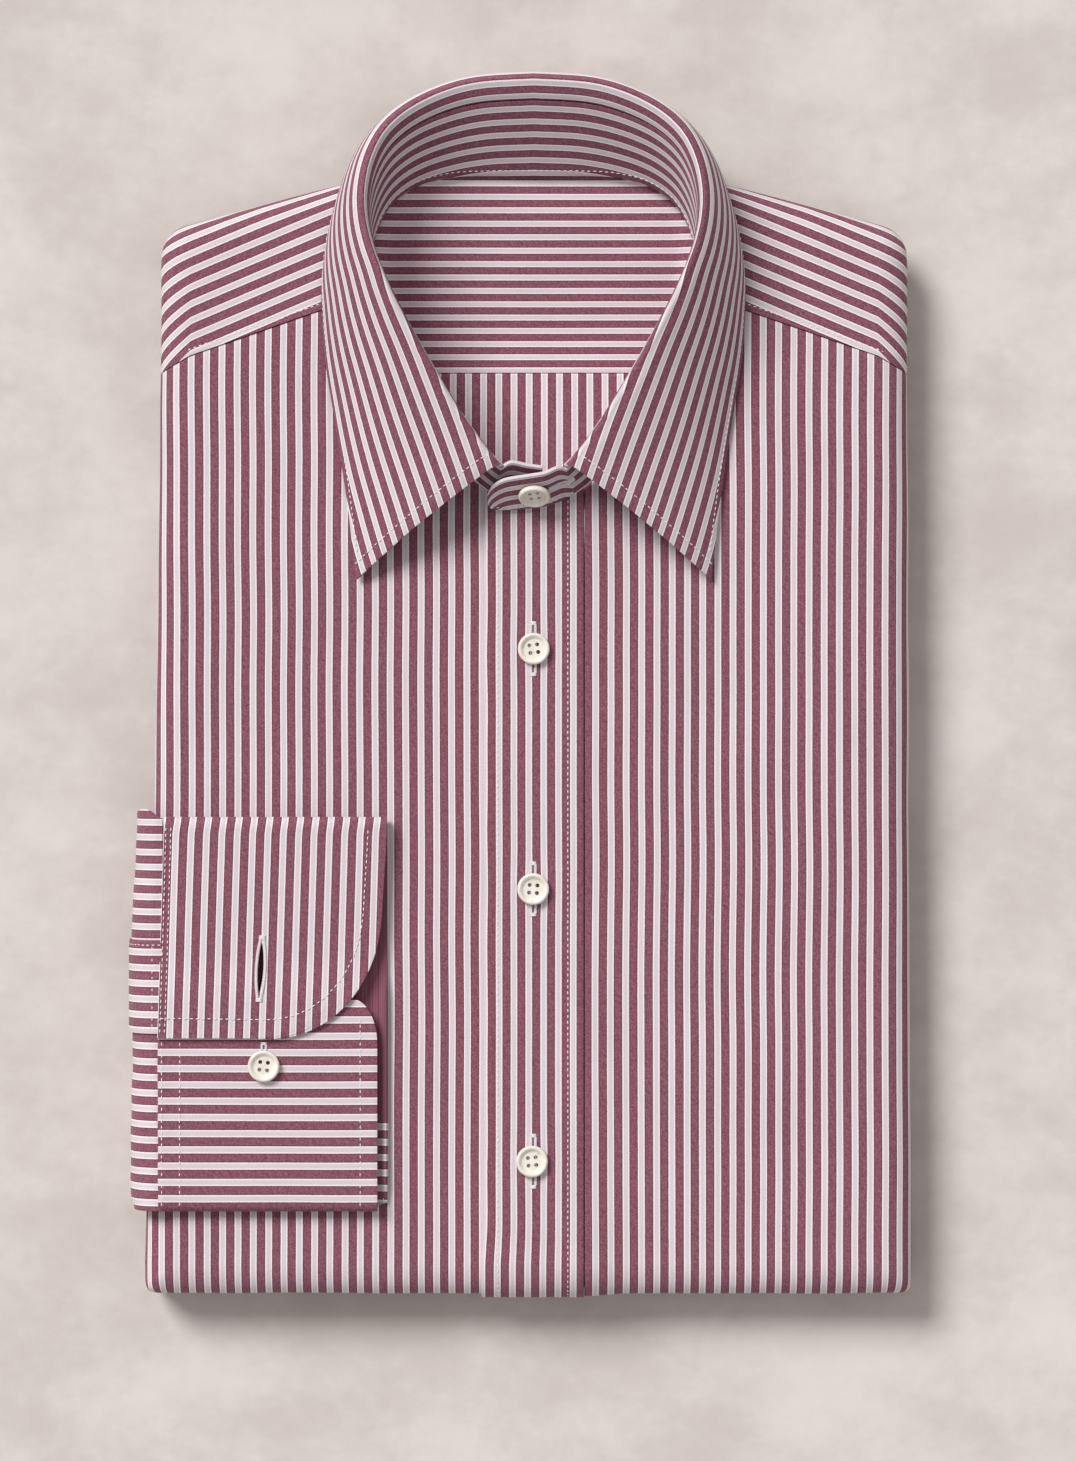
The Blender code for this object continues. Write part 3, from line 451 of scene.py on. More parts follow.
def threadLook():
    look = Look(
        "White sewing thread", {"Sheen Weight": 0.2, "Specular IOR Level": 0.35, "IOR": 1.5})
    x, y = look.inMillimetres(look.node("TexCoord", {}, {}, output=3))
    twist = look.sums("SINE", (x + y) * (2 * math.pi / threads["twistPitch"])) * 0.5 + 0.5
    look.show("Base Color", look.blend(twist * 0.6, threads["colour"], threads["shade"]))
    look.show("Roughness", 0.7 + twist * 0.15)
    look.show("Normal", look.bump(twist, 0.04 * mm, 0.6))
    return look.material


shell = {
    "ivory": (0.800, 0.740, 0.650, 1.0),
    "cream": (0.710, 0.630, 0.520, 1.0),
    "cloud": (0.870, 0.835, 0.770, 1.0),
}


def buttonLook():
    look = Look("Ivory button", {"Coat Roughness": 0.16, "Specular IOR Level": 0.5, "IOR": 1.52})
    at = look.node("TexCoord", {}, {}, output=3)
    veins = look.grain(at, 260.0, 3.0, 0.6)
    drawn = look.node("Mapping", {}, {"Vector": at, "Scale": (900.0, 160.0, 400.0)})
    bands = look.grain(drawn, 1.0, 2.0)
    colour = look.blend(look.soft(veins, 0.35, 0.65), shell["ivory"], shell["cloud"])
    colour = look.blend(look.soft(bands, 0.5, 0.75) * 0.45, colour, shell["cream"])
    look.show("Base Color", colour)
    look.show("Roughness", 0.28 + veins * 0.14)
    look.show("Coat Weight", 0.35 + veins * 0.2)
    look.show("Normal", look.bump(veins, 0.03 * mm, 0.25))
    return look.material


frontLook = stripedLook("Striped cotton, left front", 28.897)
mateLook = stripedLook("Striped cotton, right front", -21.939)
placketLook = stripedLook("Striped cotton, placket", 0.0, pitch=5.2611)
yokeLook = stripedLook("Striped cotton, yoke", 1.2)
bandLook = stripedLook("Striped cotton, collar", 0.0)
# Painted light: the inside of the neck is brightened 1.16 times.
insideLook = stripedLook("Striped cotton, inside", 0.0, paintedLight=1.16)
cuffLook = stripedLook("Striped cotton, cuff", 0.0)
sleeveLook = stripedLook("Striped cotton, sleeve", 0.0, pitch=5.54)
# Painted shade: the hidden folds under the fronts are darkened to 0.9.
hiddenLook = stripedLook("Striped cotton, hidden folds", 0.0, paintedLight=0.9)
sewingLook = threadLook()
ivoryLook = buttonLook()
print("looks made")


# Fronts

fronts = {
    "columns": 56, "rows": 150, "corner": 7, "levels": 14,
    "leftFrom": 22.5, "rightFrom": 20.2,   # where the cloth starts beside the placket
    "climb": 1.2,                # the left front climbs to meet the placket
    "climbReach": 16.0,
    "underCuff": (-40.0, -50.0), "cuffFoot": (-196.0, -184.0),   # where the cuff presses it flat
    "neckNear": (14.0, 34.0),
    "leftCut": (0.128, 0.371), "leftArea": 0.0436,
    "rightCut": (0.165, 0.371), "rightArea": 0.0542,
}


def riseAt(x, y):  # wave and creases, quiet under the cuff and at the neck
    cover = ease(*fronts["cuffFoot"], y)
    for value in (x, y):
        cover *= ease(*fronts["underCuff"], value)
    apart = math.hypot(x - bundle["centreX"], (y - neckSeam[1][1]) * 0.8)
    neck = 1.0 - ease(*fronts["neckNear"], apart)
    return (waveAt(x, y) + creaseRise(x, y)) * (1.0 - 0.85 * cover) * (1.0 - 0.7 * neck)


def seamLine(x, insetX):
    side = 1 if x > bundle["centreX"] else -1
    reach = bundle["edgeReach"]
    if insetX < reach - 0.01:
        return bundle["seamSideY"] + bundle["seamDroop"] * insetX / reach
    turnX = abs(sideEdge(side, bundle["seamSideY"]) - side * reach - bundle["centreX"])
    share = (abs(x - bundle["centreX"]) - bundle["seamNeck"][0]) / (turnX - bundle["seamNeck"][0])
    share = min(max(share, 0.0), 1.0)
    return lerp(bundle["seamNeck"][1], bundle["seamSideY"] + bundle["seamDroop"], share)


def frontTop(x, insetX):
    off = abs(x - bundle["centreX"])
    top = neckFront(off) if off < bundle["seamNeck"][0] else seamLine(x, insetX)
    return top - bundle["gap"]


def foldArcs(levels, lift=0.0, under=1.0):  # length of cloth from the flat down to each level
    arcs, last = [0.0], None
    for level in range(levels + 1):
        inset, z = foldLevel(bundle["foldTurn"] * level / levels, lift, under)
        here = Vector((inset, z))
        if last is not None:
            arcs.append(arcs[-1] + (here - last).length)
        last = here
    return arcs


def layFront(name, side, innerX, look, climb):
    reach, hem = bundle["edgeReach"], bundle["hemY"]
    columns, rows, corner, levels = (fronts[key] for key in ("columns", "rows", "corner", "levels"))
    arcs = foldArcs(levels)

    def climbAt(x):
        return climb * (1.0 - ease(0.0, fronts["climbReach"], abs(x - innerX)))

    def flat(across, along):
        guess = lerp(hem + reach, bundle["seamSideY"], along)
        x = lerp(innerX, sideEdge(side, guess) - side * reach, across)
        y = lerp(hem + reach, frontTop(x, reach), along)
        pull = 0.15 * (1.0 - ease(0.0, 5.0, frontTop(x, reach) - y)) * abs(math.sin(x * 0.9))
        return x, y, bundle["topZ"] + riseAt(x, y) + climbAt(x) - pull

    def middle(column, row):
        x, y, z = flat(column / columns, row / rows)
        return x, y, z, x + driftAt(x, y), y

    def edge(step, row):
        level = levels - row
        angle = bundle["foldTurn"] * level / levels
        fade = max(math.cos(math.radians(angle)), 0.0)
        if step <= columns:
            x, y, z = flat(step / columns, 0.0)
            inset, low = foldLevel(angle, 0.0, 0.0)
            wave = uneven(x / 23.0, 3.0, angle / 60.0) * 0.35 * (1.0 - fade)
            low += (z - bundle["topZ"]) * fade
            out = hem + inset - climbAt(x) * (1.0 - fade) + wave
            return x, out, low, x + driftAt(x, y), y - arcs[level]
        if step < columns + corner:
            share = (step - columns) / corner
            x, y, z = flat(1.0, 0.0)
            insetX, low = foldLevel(angle, 0.0, 0.25 * share)
            insetY, _ = foldLevel(angle, 0.0, 0.0)
            turn, power = share * math.pi / 2.0, 2.0 / bundle["cornerPower"]
            outX, outY = math.sin(turn) ** power, math.cos(turn) ** power
            wide, out = x + side * (reach - insetX) * outX, y - (reach - insetY) * outY
            low += (z - bundle["topZ"]) * fade
            stripe = x + side * arcs[level] * outX + driftAt(x, y)
            return wide, out, low, stripe, y - arcs[level] * outY
        along = (step - columns - corner) / rows
        guess = lerp(hem + reach, bundle["seamSideY"], along)
        flatX, flatY, flatZ = flat(1.0, along)
        under = ease(hem + 2.0, hem + 30.0, guess)
        inset, low = foldLevel(angle, 0.0, under)
        x = sideEdge(side, guess) - side * inset
        y = lerp(hem + reach, frontTop(x, inset), along)
        z = low + (flatZ - bundle["topZ"]) * fade
        return x, y, z, flatX + side * arcs[level] + driftAt(flatX, flatY), y

    patches = [(columns, rows, middle), (columns + corner + rows, levels, edge)]
    return layCloth(name, patches, look)


leftFront = layFront("frontLeft", 1, fronts["leftFrom"], frontLook, fronts["climb"])
rightFront = layFront("frontRight", -1, fronts["rightFrom"], mateLook, 0.0)
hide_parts("front_left")
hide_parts("front_right")
print("fronts laid")


# Placket

placket = {
    "left": -13.3, "right": 22.2, "columns": 30, "rows": 170,
    "stitches": (-8.3, 16.5),    # the two sewn lines
    "buttons": (12.8, -72.4, -169.0),
    "trough": 0.14,
    "lift": 1.5,                 # above the fronts
    "flare": 1.2,                # how far its left edge runs out at the hem
    "cut": (0.0355, 0.302),
}


def placketRise(x, y):
    rise = riseAt(x, y)
    for line in placket["stitches"]:
        pucker = 1.0 + 0.7 * uneven(line, y / 3.1, 0.0)
        rise -= placket["trough"] * pucker * math.exp(-((x - line) / 0.8) ** 2)
    for buttonY in placket["buttons"]:
        off = math.hypot((x - bundle["centreX"]) / 5.0, (y - buttonY) / 11.0)
        rise -= 0.22 * math.exp(-off * off)
    edge = min(x - placket["left"], placket["right"] - x)
    return rise - 0.25 * math.exp(-(edge / 1.1) ** 2)


def placketSpot(column, row):
    levels = fronts["levels"]
    x = lerp(placket["left"], placket["right"], column / placket["columns"])
    level = max(levels - row, 0)
    along = max(row - levels, 0) / placket["rows"]
    angle = bundle["foldTurn"] * level / levels
    reach, hem = bundle["edgeReach"], bundle["hemY"]
    fade = max(math.cos(math.radians(angle)), 0.0)
    inset, low = foldLevel(angle, placket["lift"], 0.0)
    y = lerp(hem + reach, frontTop(x, reach), along) if not level else hem + inset
    atFlat = y if not level else hem + reach
    run = uneven(0.0, atFlat / 21.0, 6.0) * 0.3 * (1.0 - ease(0.0, 6.0, x - placket["left"]))
    bow = 0.0
    for buttonY in placket["buttons"]:
        off = (x - bundle["centreX"]) / 6.0
        bow += 0.5 * off * math.exp(-off * off - ((y - buttonY) / 9.0) ** 2)
    arc = foldArcs(levels, placket["lift"], 0.0)[level]
    z = low + placketRise(x, atFlat) * fade
    if not level:
        z = bundle["topZ"] + placket["lift"] + placketRise(x, y)
    flare = placket["flare"] * ease(-190.0, -216.0, atFlat) * (1.0 - column / placket["columns"])
    return x + run - flare, y, z, x - bow + 0.4 * driftAt(x, y), y - arc


placketRows = placket["rows"] + fronts["levels"]
placketPiece = layCloth(
    "placketStrip", [(placket["columns"], placketRows, placketSpot)], placketLook)
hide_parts("placket")
print("placket laid")


# Yoke

yoke = {
    "sideSteps": 4, "cornerSteps": 3, "shoulderSteps": 8,
    "columns": 180, "flatRows": 26, "levels": 12,
    "slant": 23.0,               # the stripes fall this much towards the sides
    "clear": 1.5,                # flat cloth kept between the neck and the fold
    "seamRise": 0.35,            # the folded rim along the front seam stands up this much
    "driftFade": (160.0, 120.0), # the sides' wander dies out towards the shoulders
    "cut": (0.310, 0.095), "area": 0.0120,
}


def yokeEdge(step):  # point of the right half's outline, and the way in from it
    tilt = math.atan(bundle["shoulderSlope"])
    radius = bundle["shoulderCorner"]
    cornerX = plainEdge(1, 160.0) - radius
    startY = bundle["seamSideY"]
    centre = Vector((cornerX, shoulderLine(cornerX) - radius / math.cos(tilt)))
    if step < yoke["sideSteps"]:
        y = lerp(startY, centre.y, step / yoke["sideSteps"])
        return Vector((plainEdge(1, y), y)), Vector((-1.0, 0.0))
    step -= yoke["sideSteps"]
    if step < yoke["cornerSteps"]:
        turn = (math.pi / 2 - tilt) * step / yoke["cornerSteps"]
        outward = Vector((math.cos(turn), math.sin(turn)))
        return centre + outward * radius, -outward
    share = (step - yoke["cornerSteps"]) / yoke["shoulderSteps"]
    x = lerp(cornerX + radius * math.sin(tilt), bundle["centreX"], share)
    slope = (shoulderLine(x + 1.0) - shoulderLine(x - 1.0)) / 2.0
    return Vector((x, shoulderLine(x))), Vector((slope, -1.0)).normalized()


yokeHalf = yoke["sideSteps"] + yoke["cornerSteps"] + yoke["shoulderSteps"]
facingStep = next(
    step for step in range(yokeHalf + 1) if yokeEdge(step)[0].x - bundle["centreX"] < neckFacing)
facingOff = yokeEdge(facingStep)[0].x - bundle["centreX"]
sideNeck = [
    Vector(bundle["seamNeck"]), Vector((58.0, 152.0)), Vector((52.5, 168.5)),
    Vector((facingOff, neckBack(facingOff))),
]


def neckSpot(step):  # the point of the neck seam opposite a point of the outline
    if step < facingStep:
        return curveThrough(sideNeck, step / facingStep * (len(sideNeck) - 1))
    off = max(yokeEdge(step)[0].x - bundle["centreX"], 0.0)
    return Vector((off, neckBack(off)))


def yokeSpot(column, row):
    share = column / yoke["columns"] * 2.0
    side = 1 if share < 1.0 else -1
    step = (share if share <= 1.0 else 2.0 - share) * yokeHalf
    edge, inward = yokeEdge(step)
    neck = neckSpot(step)
    seamShare = 1.0 - min(step / yoke["sideSteps"], 1.0)
    level = max(row - yoke["flatRows"], 0)
    angle = bundle["foldTurn"] * level / yoke["levels"]
    inset, z = foldLevel(angle, 0.0, 1.0)
    reach = bundle["edgeReach"]
    clear = abs((edge - Vector((bundle["centreX"] + neck.x, neck.y))).dot(inward))
    rounding = min(reach, clear - yoke["clear"])
    if angle < 90:
        inset *= rounding / reach
    turned = edge + inward * inset
    off = widened(side, edge.y, turned.x - bundle["centreX"])
    y = turned.y + bundle["seamDroop"] * seamShare * min(inset / reach, 1.0)
    if not level:
        along = row / yoke["flatRows"]
        off, y = lerp(neck.x, off, along), lerp(neck.y, y, along)
    fade = max(math.cos(math.radians(angle)), 0.0)
    x = bundle["centreX"] + side * off
    if row >= yoke["flatRows"]:
        x += sideDrift(side, y) * ease(*yoke["driftFade"], edge.y)
    seamNear = 1.0 - ease(0.0, 3.0, y - seamLine(x, reach)) if off > 58.0 else 0.0
    z += (riseAt(x, y) + yoke["seamRise"] * seamNear) * fade
    flatY, flatOff = y, off
    if level:  # the stripes run on round the fold
        flat = edge + inward * rounding
        out = inward * foldArcs(yoke["levels"])[level]
        flatY = flat.y + bundle["seamDroop"] * seamShare - out.y
        flatOff = widened(side, edge.y, flat.x - bundle["centreX"]) - out.x
    slant = math.radians(yoke["slant"])
    stripe = flatY * math.cos(slant) + flatOff * math.sin(slant)
    return x, y, z, stripe + driftAt(y, x), off


yokePiece = layCloth(
    "yokePanel", [(yoke["columns"], yoke["flatRows"] + yoke["levels"], yokeSpot)], yokeLook)
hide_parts("yoke")
print("yoke laid")


# Inside of the neck

inside = {
    "columns": 60, "yokeRows": 60, "backRows": 40, "frontY": 68.0,
    "seamY": 111.4,
    "floorY": (192.0, 112.0), "floorZ": (25.2, 12.0),   # how the floor falls to the front
    "backY": 181.6,
    "margin": 0.8, "rimZ": 22.6,
    "stretch": 1.16,             # the yoke's stripes lie a little closer here
    "seamStripe": 3.5,           # from the seam up to the middle of the first maroon stripe
    "yokeCut": (0.118, 0.070), "backCut": (0.102, 0.042), "backArea": 0.0037,
}


def floorHeight(y):
    return lerp(*inside["floorZ"], ease(*inside["floorY"], y))


def layInside(name, low, high, rows, across):
    def place(column, row):
        y = lerp(low, high, row / rows)
        half = neckHalf(y) + inside["margin"]
        share = 2.0 * column / inside["columns"] - 1.0
        x = bundle["centreX"] + half * share
        curl = (inside["rimZ"] - floorHeight(y)) * ease(0.86, 1.0, abs(share))
        wave = 0.35 * uneven(x / 24.0, y / 15.0, 2.2) * (1.0 - abs(share) ** 4)
        z = floorHeight(y) + max(curl, 0.0) + wave
        if across:
            stripe = (y - inside["seamY"] - inside["seamStripe"]) * inside["stretch"]
            return x, y, z, stripe + 0.3 * driftAt(y, x), x
        return x, y, z, x + 0.3 * driftAt(x, y), y

    return layCloth(name, [(inside["columns"], rows, place)], insideLook)


insideYoke = layInside(
    "insideYoke", inside["seamY"] + bundle["gap"], inside["backY"], inside["yokeRows"], True)
insideBack = layInside("insideBack", inside["frontY"], inside["seamY"], inside["backRows"], False)
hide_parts("yoke_inside")
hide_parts("back_inside")
print("inside laid")


# Collar

collar = {
    "stations": (                # ridge, outer edge, depth of the roll inside
        ((0.0, 213.6, 52.0), (0.0, 207.0, 10.0), 6.5),
        ((18.6, 212.4, 52.3), (20.5, 206.0, 10.4), 6.5),
        ((31.4, 209.2, 53.0), (35.0, 202.5, 12.0), 6.5),
        ((43.5, 203.2, 54.6), (49.5, 196.3, 15.0), 6.2),
        ((52.0, 195.6, 56.5), (59.5, 188.5, 19.5), 6.0),
        ((57.0, 186.0, 58.2), (65.8, 179.0, 25.6), 5.6),
        ((59.2, 175.0, 59.4), (70.4, 167.0, 26.6), 5.2),
        ((58.8, 164.5, 60.0), (73.4, 155.0, 26.6), 4.8),
        ((56.2, 154.0, 60.0), (74.7, 142.0, 26.6), 4.4),
        ((52.0, 143.5, 59.0), (74.5, 128.5, 26.6), 4.0),
        ((46.4, 132.0, 57.2), (73.2, 114.0, 26.6), 3.6),
        ((39.6, 120.0, 54.8), (70.9, 99.0, 26.6), 3.2),
        ((32.0, 107.5, 52.0), (68.4, 82.0, 26.6), 2.8),
        ((24.0, 95.0, 49.0), (65.8, 64.5, 26.8), 2.4),
        ((15.6, 83.5, 46.4), (63.8, 47.0, 27.0), 2.0),
        ((11.2, 78.4, 45.0), (62.7, 37.4, 27.4), 1.6),
    ),
    "foot": (                    # the neck seam under each station
        (0.0, 180.8), (14.0, 180.8), (28.0, 180.4), (40.0, 177.8), (49.0, 172.2),
        (54.5, 164.5), (57.6, 155.0), (58.0, 145.0), (56.8, 134.5), (53.0, 123.5),
        (48.4, 113.0), (43.0, 102.5), (37.0, 92.0), (30.0, 82.0), (21.8, 73.4), (14.5, 68.2),
    ),
    "footZ": 26.5, "bulge": 2.4, "rollRadius": 2.3,
    "leafWall": 1.1, "bandWall": 1.3,
    "leafColumns": 220, "rollRows": 10, "fallRows": 34,
    "bandColumns": 4, "bandRows": 14,   # columns to one step of the band
    "bandStep": 8.6,             # length of one step
    "bandHalf": 22, "underLap": 3,      # steps from the back to the lap, and of the end below
    "lapShift": 1.9, "lapOut": (0.85, 0.53),   # how far the lapping ends part
    "ridgeBand": 0.9,            # where the maroon along the ridge has its middle
    "frontStripe": 2.3,          # moves the band's stripes: white along the top of its front ends
    "frontFrom": (17.0, 21.0), "lapFade": (14.0, 4.0),
    "fallBack": 40.0,            # length of the leaf's fall at the sides
    "crossing": 0.6,             # share of the longer fall by which stripes cross the ridge
    "crossFrom": (7.5, 9.5), "closerTo": (8.0, 13.0),   # stations
    "closer": 1.12,              # the stripes lie this much closer at the back and sides
    "leafCut": (0.475, 0.078), "leafArea": 0.0196,
    "bandCut": (0.470, 0.038), "bandArea": 0.0098,
}

bandEnd = (                      # the band's front ends: foot, then top edge
    ((10.0, 66.4, 26.9), (8.2, 77.4, 42.6)), ((4.0, 65.2, 27.1), (3.2, 76.0, 42.6)),
    ((-3.0, 64.4, 27.2), (-3.2, 75.0, 42.4)), ((-10.0, 64.0, 27.2), (-10.2, 73.8, 41.4)),
    ((-14.4, 64.2, 27.8), (-14.4, 71.6, 38.4)), ((-16.2, 65.4, 29.6), (-16.2, 69.2, 34.6)),
)
lastStation = len(collar["stations"]) - 1
ridges = [Vector(row[0]) for row in collar["stations"]]
outers = [Vector(row[1]) for row in collar["stations"]]
rolls = [row[2] for row in collar["stations"]]
feet = [Vector((x, y, collar["footZ"] + 1.2 * ease(102.0, 88.0, y))) for x, y in collar["foot"]]


def leafSection(position, rollRows, fallShares):
    # From the seam on the band, over the ridge, down to the leaf's edge.
    ridge, outer, roll, foot = (
        curveThrough(line, position) for line in (ridges, outers, rolls, feet))
    radius = collar["rollRadius"]
    spread = ((foot - ridge).normalized() + (outer - ridge).normalized()).normalized()
    half = (foot - ridge).angle(outer - ridge) / 2.0
    apex = ridge - spread * radius * (1.0 / math.sin(half) - 1.0)
    inward, outward = (foot - apex).normalized(), (outer - apex).normalized()
    half = inward.angle(outward) / 2.0
    centre = apex + (inward + outward).normalized() * radius / math.sin(half)
    tangent = radius / math.tan(half)
    start, end = apex + inward * tangent, apex + outward * tangent
    points = [start + inward * roll, start + inward * roll * 0.5]
    for step in range(rollRows + 1):
        points.append(centre + (start - centre).slerp(end - centre, step / rollRows))
    bow = (outward * inward.dot(outward) - inward).normalized()
    for share in fallShares:
        points.append(end.lerp(outer, share) + bow * collar["bulge"] * 4.0 * share * (1.0 - share))
    return points, inward, foot


def mirrored(point, side):
    return Vector((bundle["centreX"] + side * point.x, point.y, point.z))


def leafColumn(position):  # section points with their distance from the ridge
    shares = [(step + 1) / collar["fallRows"] for step in range(collar["fallRows"])]
    points, inward, foot = leafSection(position, collar["rollRows"], shares)
    top = 2 + collar["rollRows"] // 2
    far = [0.0] * len(points)
    for index in range(top + 1, len(points)):
        far[index] = far[index - 1] + (points[index] - points[index - 1]).length
    for index in range(top - 1, -1, -1):
        far[index] = far[index + 1] - (points[index] - points[index + 1]).length
    return points, far


leafColumns = []                 # for positions along half the collar
for step in range(collar["leafColumns"] // 2 + 1):
    leafColumns.append(leafColumn(step / (collar["leafColumns"] / 2) * lastStation))
leafAlong = [0.0]
for before, after in zip(leafColumns, leafColumns[1:]):
    middle = len(before[0]) // 2
    leafAlong.append(leafAlong[-1] + (after[0][middle] - before[0][middle]).length)


def leafSpot(column, row):
    half = collar["leafColumns"] // 2
    signed = column - half
    side = 1 if signed > 0 else -1
    points, far = leafColumns[abs(signed)]
    point = mirrored(points[row], side)
    low = ease(8.0, 40.0, far[row])
    sway = uneven(column / 13.0, far[row] / 30.0, 5.5) * 0.45 * low
    out = Vector((side * 0.5, 0.2, 0.8))
    front = 1.0 - ease(0.0, 3.0, leafAlong[-1] - leafAlong[abs(signed)])
    point = point + out * sway - Vector((0.0, 0.0, 0.25 * front))
    station = abs(signed) / half * lastStation
    crossed = collar["crossing"] * max(far[-1] - collar["fallBack"], 0.0)
    crossed *= ease(*collar["crossFrom"], station)
    closer = lerp(collar["closer"], 1.0, ease(*collar["closerTo"], station))
    across = far[row] * closer - collar["ridgeBand"]
    return *point, across - crossed, side * leafAlong[abs(signed)]


leafRows = 2 + collar["rollRows"] + collar["fallRows"]
leafPiece = layCloth(
    "collarLeaf", [(collar["leafColumns"], leafRows, leafSpot)], bandLook,
    thick=collar["leafWall"], offset=0.0)
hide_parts("collar_leaf")


def bandPoint(signed, share):  # signed counts the band's steps from the middle of the back
    side = 1 if signed > 0 else -1
    step = abs(signed)
    beyond = max(step - collar["bandHalf"], 0.0)
    position = min(step / collar["bandHalf"], 1.0) * lastStation
    points, inward, foot = leafSection(position, 4, (1.0,))
    top = points[0] + inward * bundle["gap"] * 2.0
    if beyond:
        foot = curveThrough([foot] + [Vector(row[0]) for row in bandEnd], beyond)
        top = curveThrough([top] + [Vector(row[1]) for row in bandEnd], beyond)
    point = foot.lerp(top, share)
    if step > collar["bandHalf"] / 2:
        lap = collar["lapShift"] * ease(*collar["lapFade"], point.x) * side
        point = point + Vector((0.0, -lap * collar["lapOut"][0], lap * collar["lapOut"][1]))
    return mirrored(point, side), (top - foot).length


def bandSpot(column, row):
    signed = column / collar["bandColumns"] - collar["bandHalf"] - collar["underLap"]
    share = row / collar["bandRows"]
    point, tall = bandPoint(signed, share)
    point.z += 0.25 * uneven(column / 9.0, row / 9.0, 8.0) * math.sin(math.pi * share)
    shift = collar["frontStripe"] * ease(*collar["frontFrom"], abs(signed)) + 0.4
    return *point, (share - 1.0) * tall + shift, signed * collar["bandStep"]


bandSteps = (collar["underLap"] + 2 * collar["bandHalf"] + len(bandEnd)) * collar["bandColumns"]
bandPiece = layCloth(
    "collarBand", [(bandSteps, collar["bandRows"], bandSpot)], bandLook,
    thick=collar["bandWall"], offset=0.0)
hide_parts("collar_stand")
print("collar laid")


# Cuff

cuff = {
    "left": -126.7, "right": -47.6, "top": -47.4, "bottom": -186.0,
    "backZ": 26.2, "plies": 4.6, "flapEnd": -125.0, "flapLift": 1.7,
    "buttonEnd": -111.2, "buttonEndRight": -51.0,
    "flapCorner": (38.0, 45.0), "endCorner": (9.0, 16.0),
    "columns": 44, "wall": 1.25,
    "lean": 0.029,               # the flap and its stripes lean this much towards the hem
    "curl": 1.7,                 # how far the back ply's right edge stands up
    "curlX": (-50.5, -47.6), "curlTop": (-100.0, -112.0), "curlFoot": (-184.0, -176.0),
    "flapStripe": -55.0, "flapStripeY": -76.0,
    "endStripe": -127.2, "endPitch": 5.75,
    "backPaintedShadeY": -154.0,        # down to here the strip of back ply that shows is held maroon: painted shade under the button end
    "slit": (-92.2, -100.4),     # middle of the open buttonhole
    "slitHalf": 9.4, "slitOpen": 1.0, "slitLean": 0.05,
    "slitColumns": (19, 20),     # the columns that open on both sides of the slit
    "seamRim": 0.2, "endOut": 1.9,   # how far left the flap and the button end reach
    "narrowing": 1.9,            # how far the flap's right edge runs in
    "flapSewn": 6.6,             # from the flap's edge in to its stitches
    "seamSewn": (0.9, 2.6),
    "endSewn": (-127.3, -120.9, -57.0), "endSewnFrom": -118.0,
    "backSewn": (-48.9, -104.0, -183.0),   # x, and from y down to y
    "cut": (0.079, 0.292), "area": 0.0214,
}


def roundedRight(right, corner, end, y, towards):
    fromEnd = (y - end) * towards
    share = min(max(1.0 - fromEnd / corner[1], 0.0), 1.0)
    return right - corner[0] * (1.0 - math.sqrt(max(1.0 - share * share, 0.0)))


def slitLine(y):  # middle of the open buttonhole there, and how far each side stands off
    along = (y - cuff["slit"][1]) / cuff["slitHalf"]
    gape = cuff["slitOpen"] * max(1.0 - along * along, 0.0)
    return cuff["slit"][0] + cuff["slitLean"] * (y - cuff["slit"][1]), gape


def flapSides(y):  # left and right edge of the flap
    down = cuff["top"] - y
    left = cuff["left"] + cuff["seamRim"] - cuff["lean"] * down
    right = cuff["right"] - cuff["narrowing"] * ease(0.0, 42.0, down)
    return left, roundedRight(right, cuff["flapCorner"], cuff["flapEnd"], y, 1)


def flapColumn(column, y):  # x of the flap's columns, which part at the buttonhole
    left, right = flapSides(y)
    first, second = cuff["slitColumns"]
    middle, gape = slitLine(y)
    gape = max(gape, 0.12)
    if column <= first:
        return lerp(left, middle - gape, column / first)
    return lerp(middle + gape, right, (column - second) / (cuff["columns"] - second))


def flapHeight(y):
    lift = cuff["flapLift"] * (1.0 - ease(cuff["buttonEnd"] - 2.0, cuff["buttonEnd"] + 16.0, y))
    return cuff["backZ"] + cuff["plies"] + lift


def cuffRows():  # the cuff's section along y: flap, top fold, back ply, bottom fold, button end
    radius = cuff["plies"] / 2.0
    low, high = cuff["backZ"], cuff["backZ"] + cuff["plies"]
    topY, bottomY = cuff["top"] - radius, cuff["bottom"] + radius
    turns = [math.pi * step / 9 for step in range(1, 10)]
    flapYs = [lerp(cuff["flapEnd"], topY, (step / 72) ** 1.5) for step in range(73)]
    endYs = [lerp(cuff["buttonEnd"], bottomY, (1.0 - step / 36) ** 1.5) for step in range(1, 37)]
    flap = [("flap", y, flapHeight(y)) for y in flapYs] + [
        ("fold", topY + radius * math.sin(turn), low + radius * (1.0 + math.cos(turn)))
        for turn in turns]
    rest = [flap[-1]] + [("back", lerp(topY, bottomY, step / 18), low) for step in range(1, 19)] + [
        ("end", bottomY - radius * math.sin(turn), low + radius * (1.0 - math.cos(turn)))
        for turn in turns] + [("end", y, high) for y in endYs]
    return flap, rest


flapRows, restRows = cuffRows()


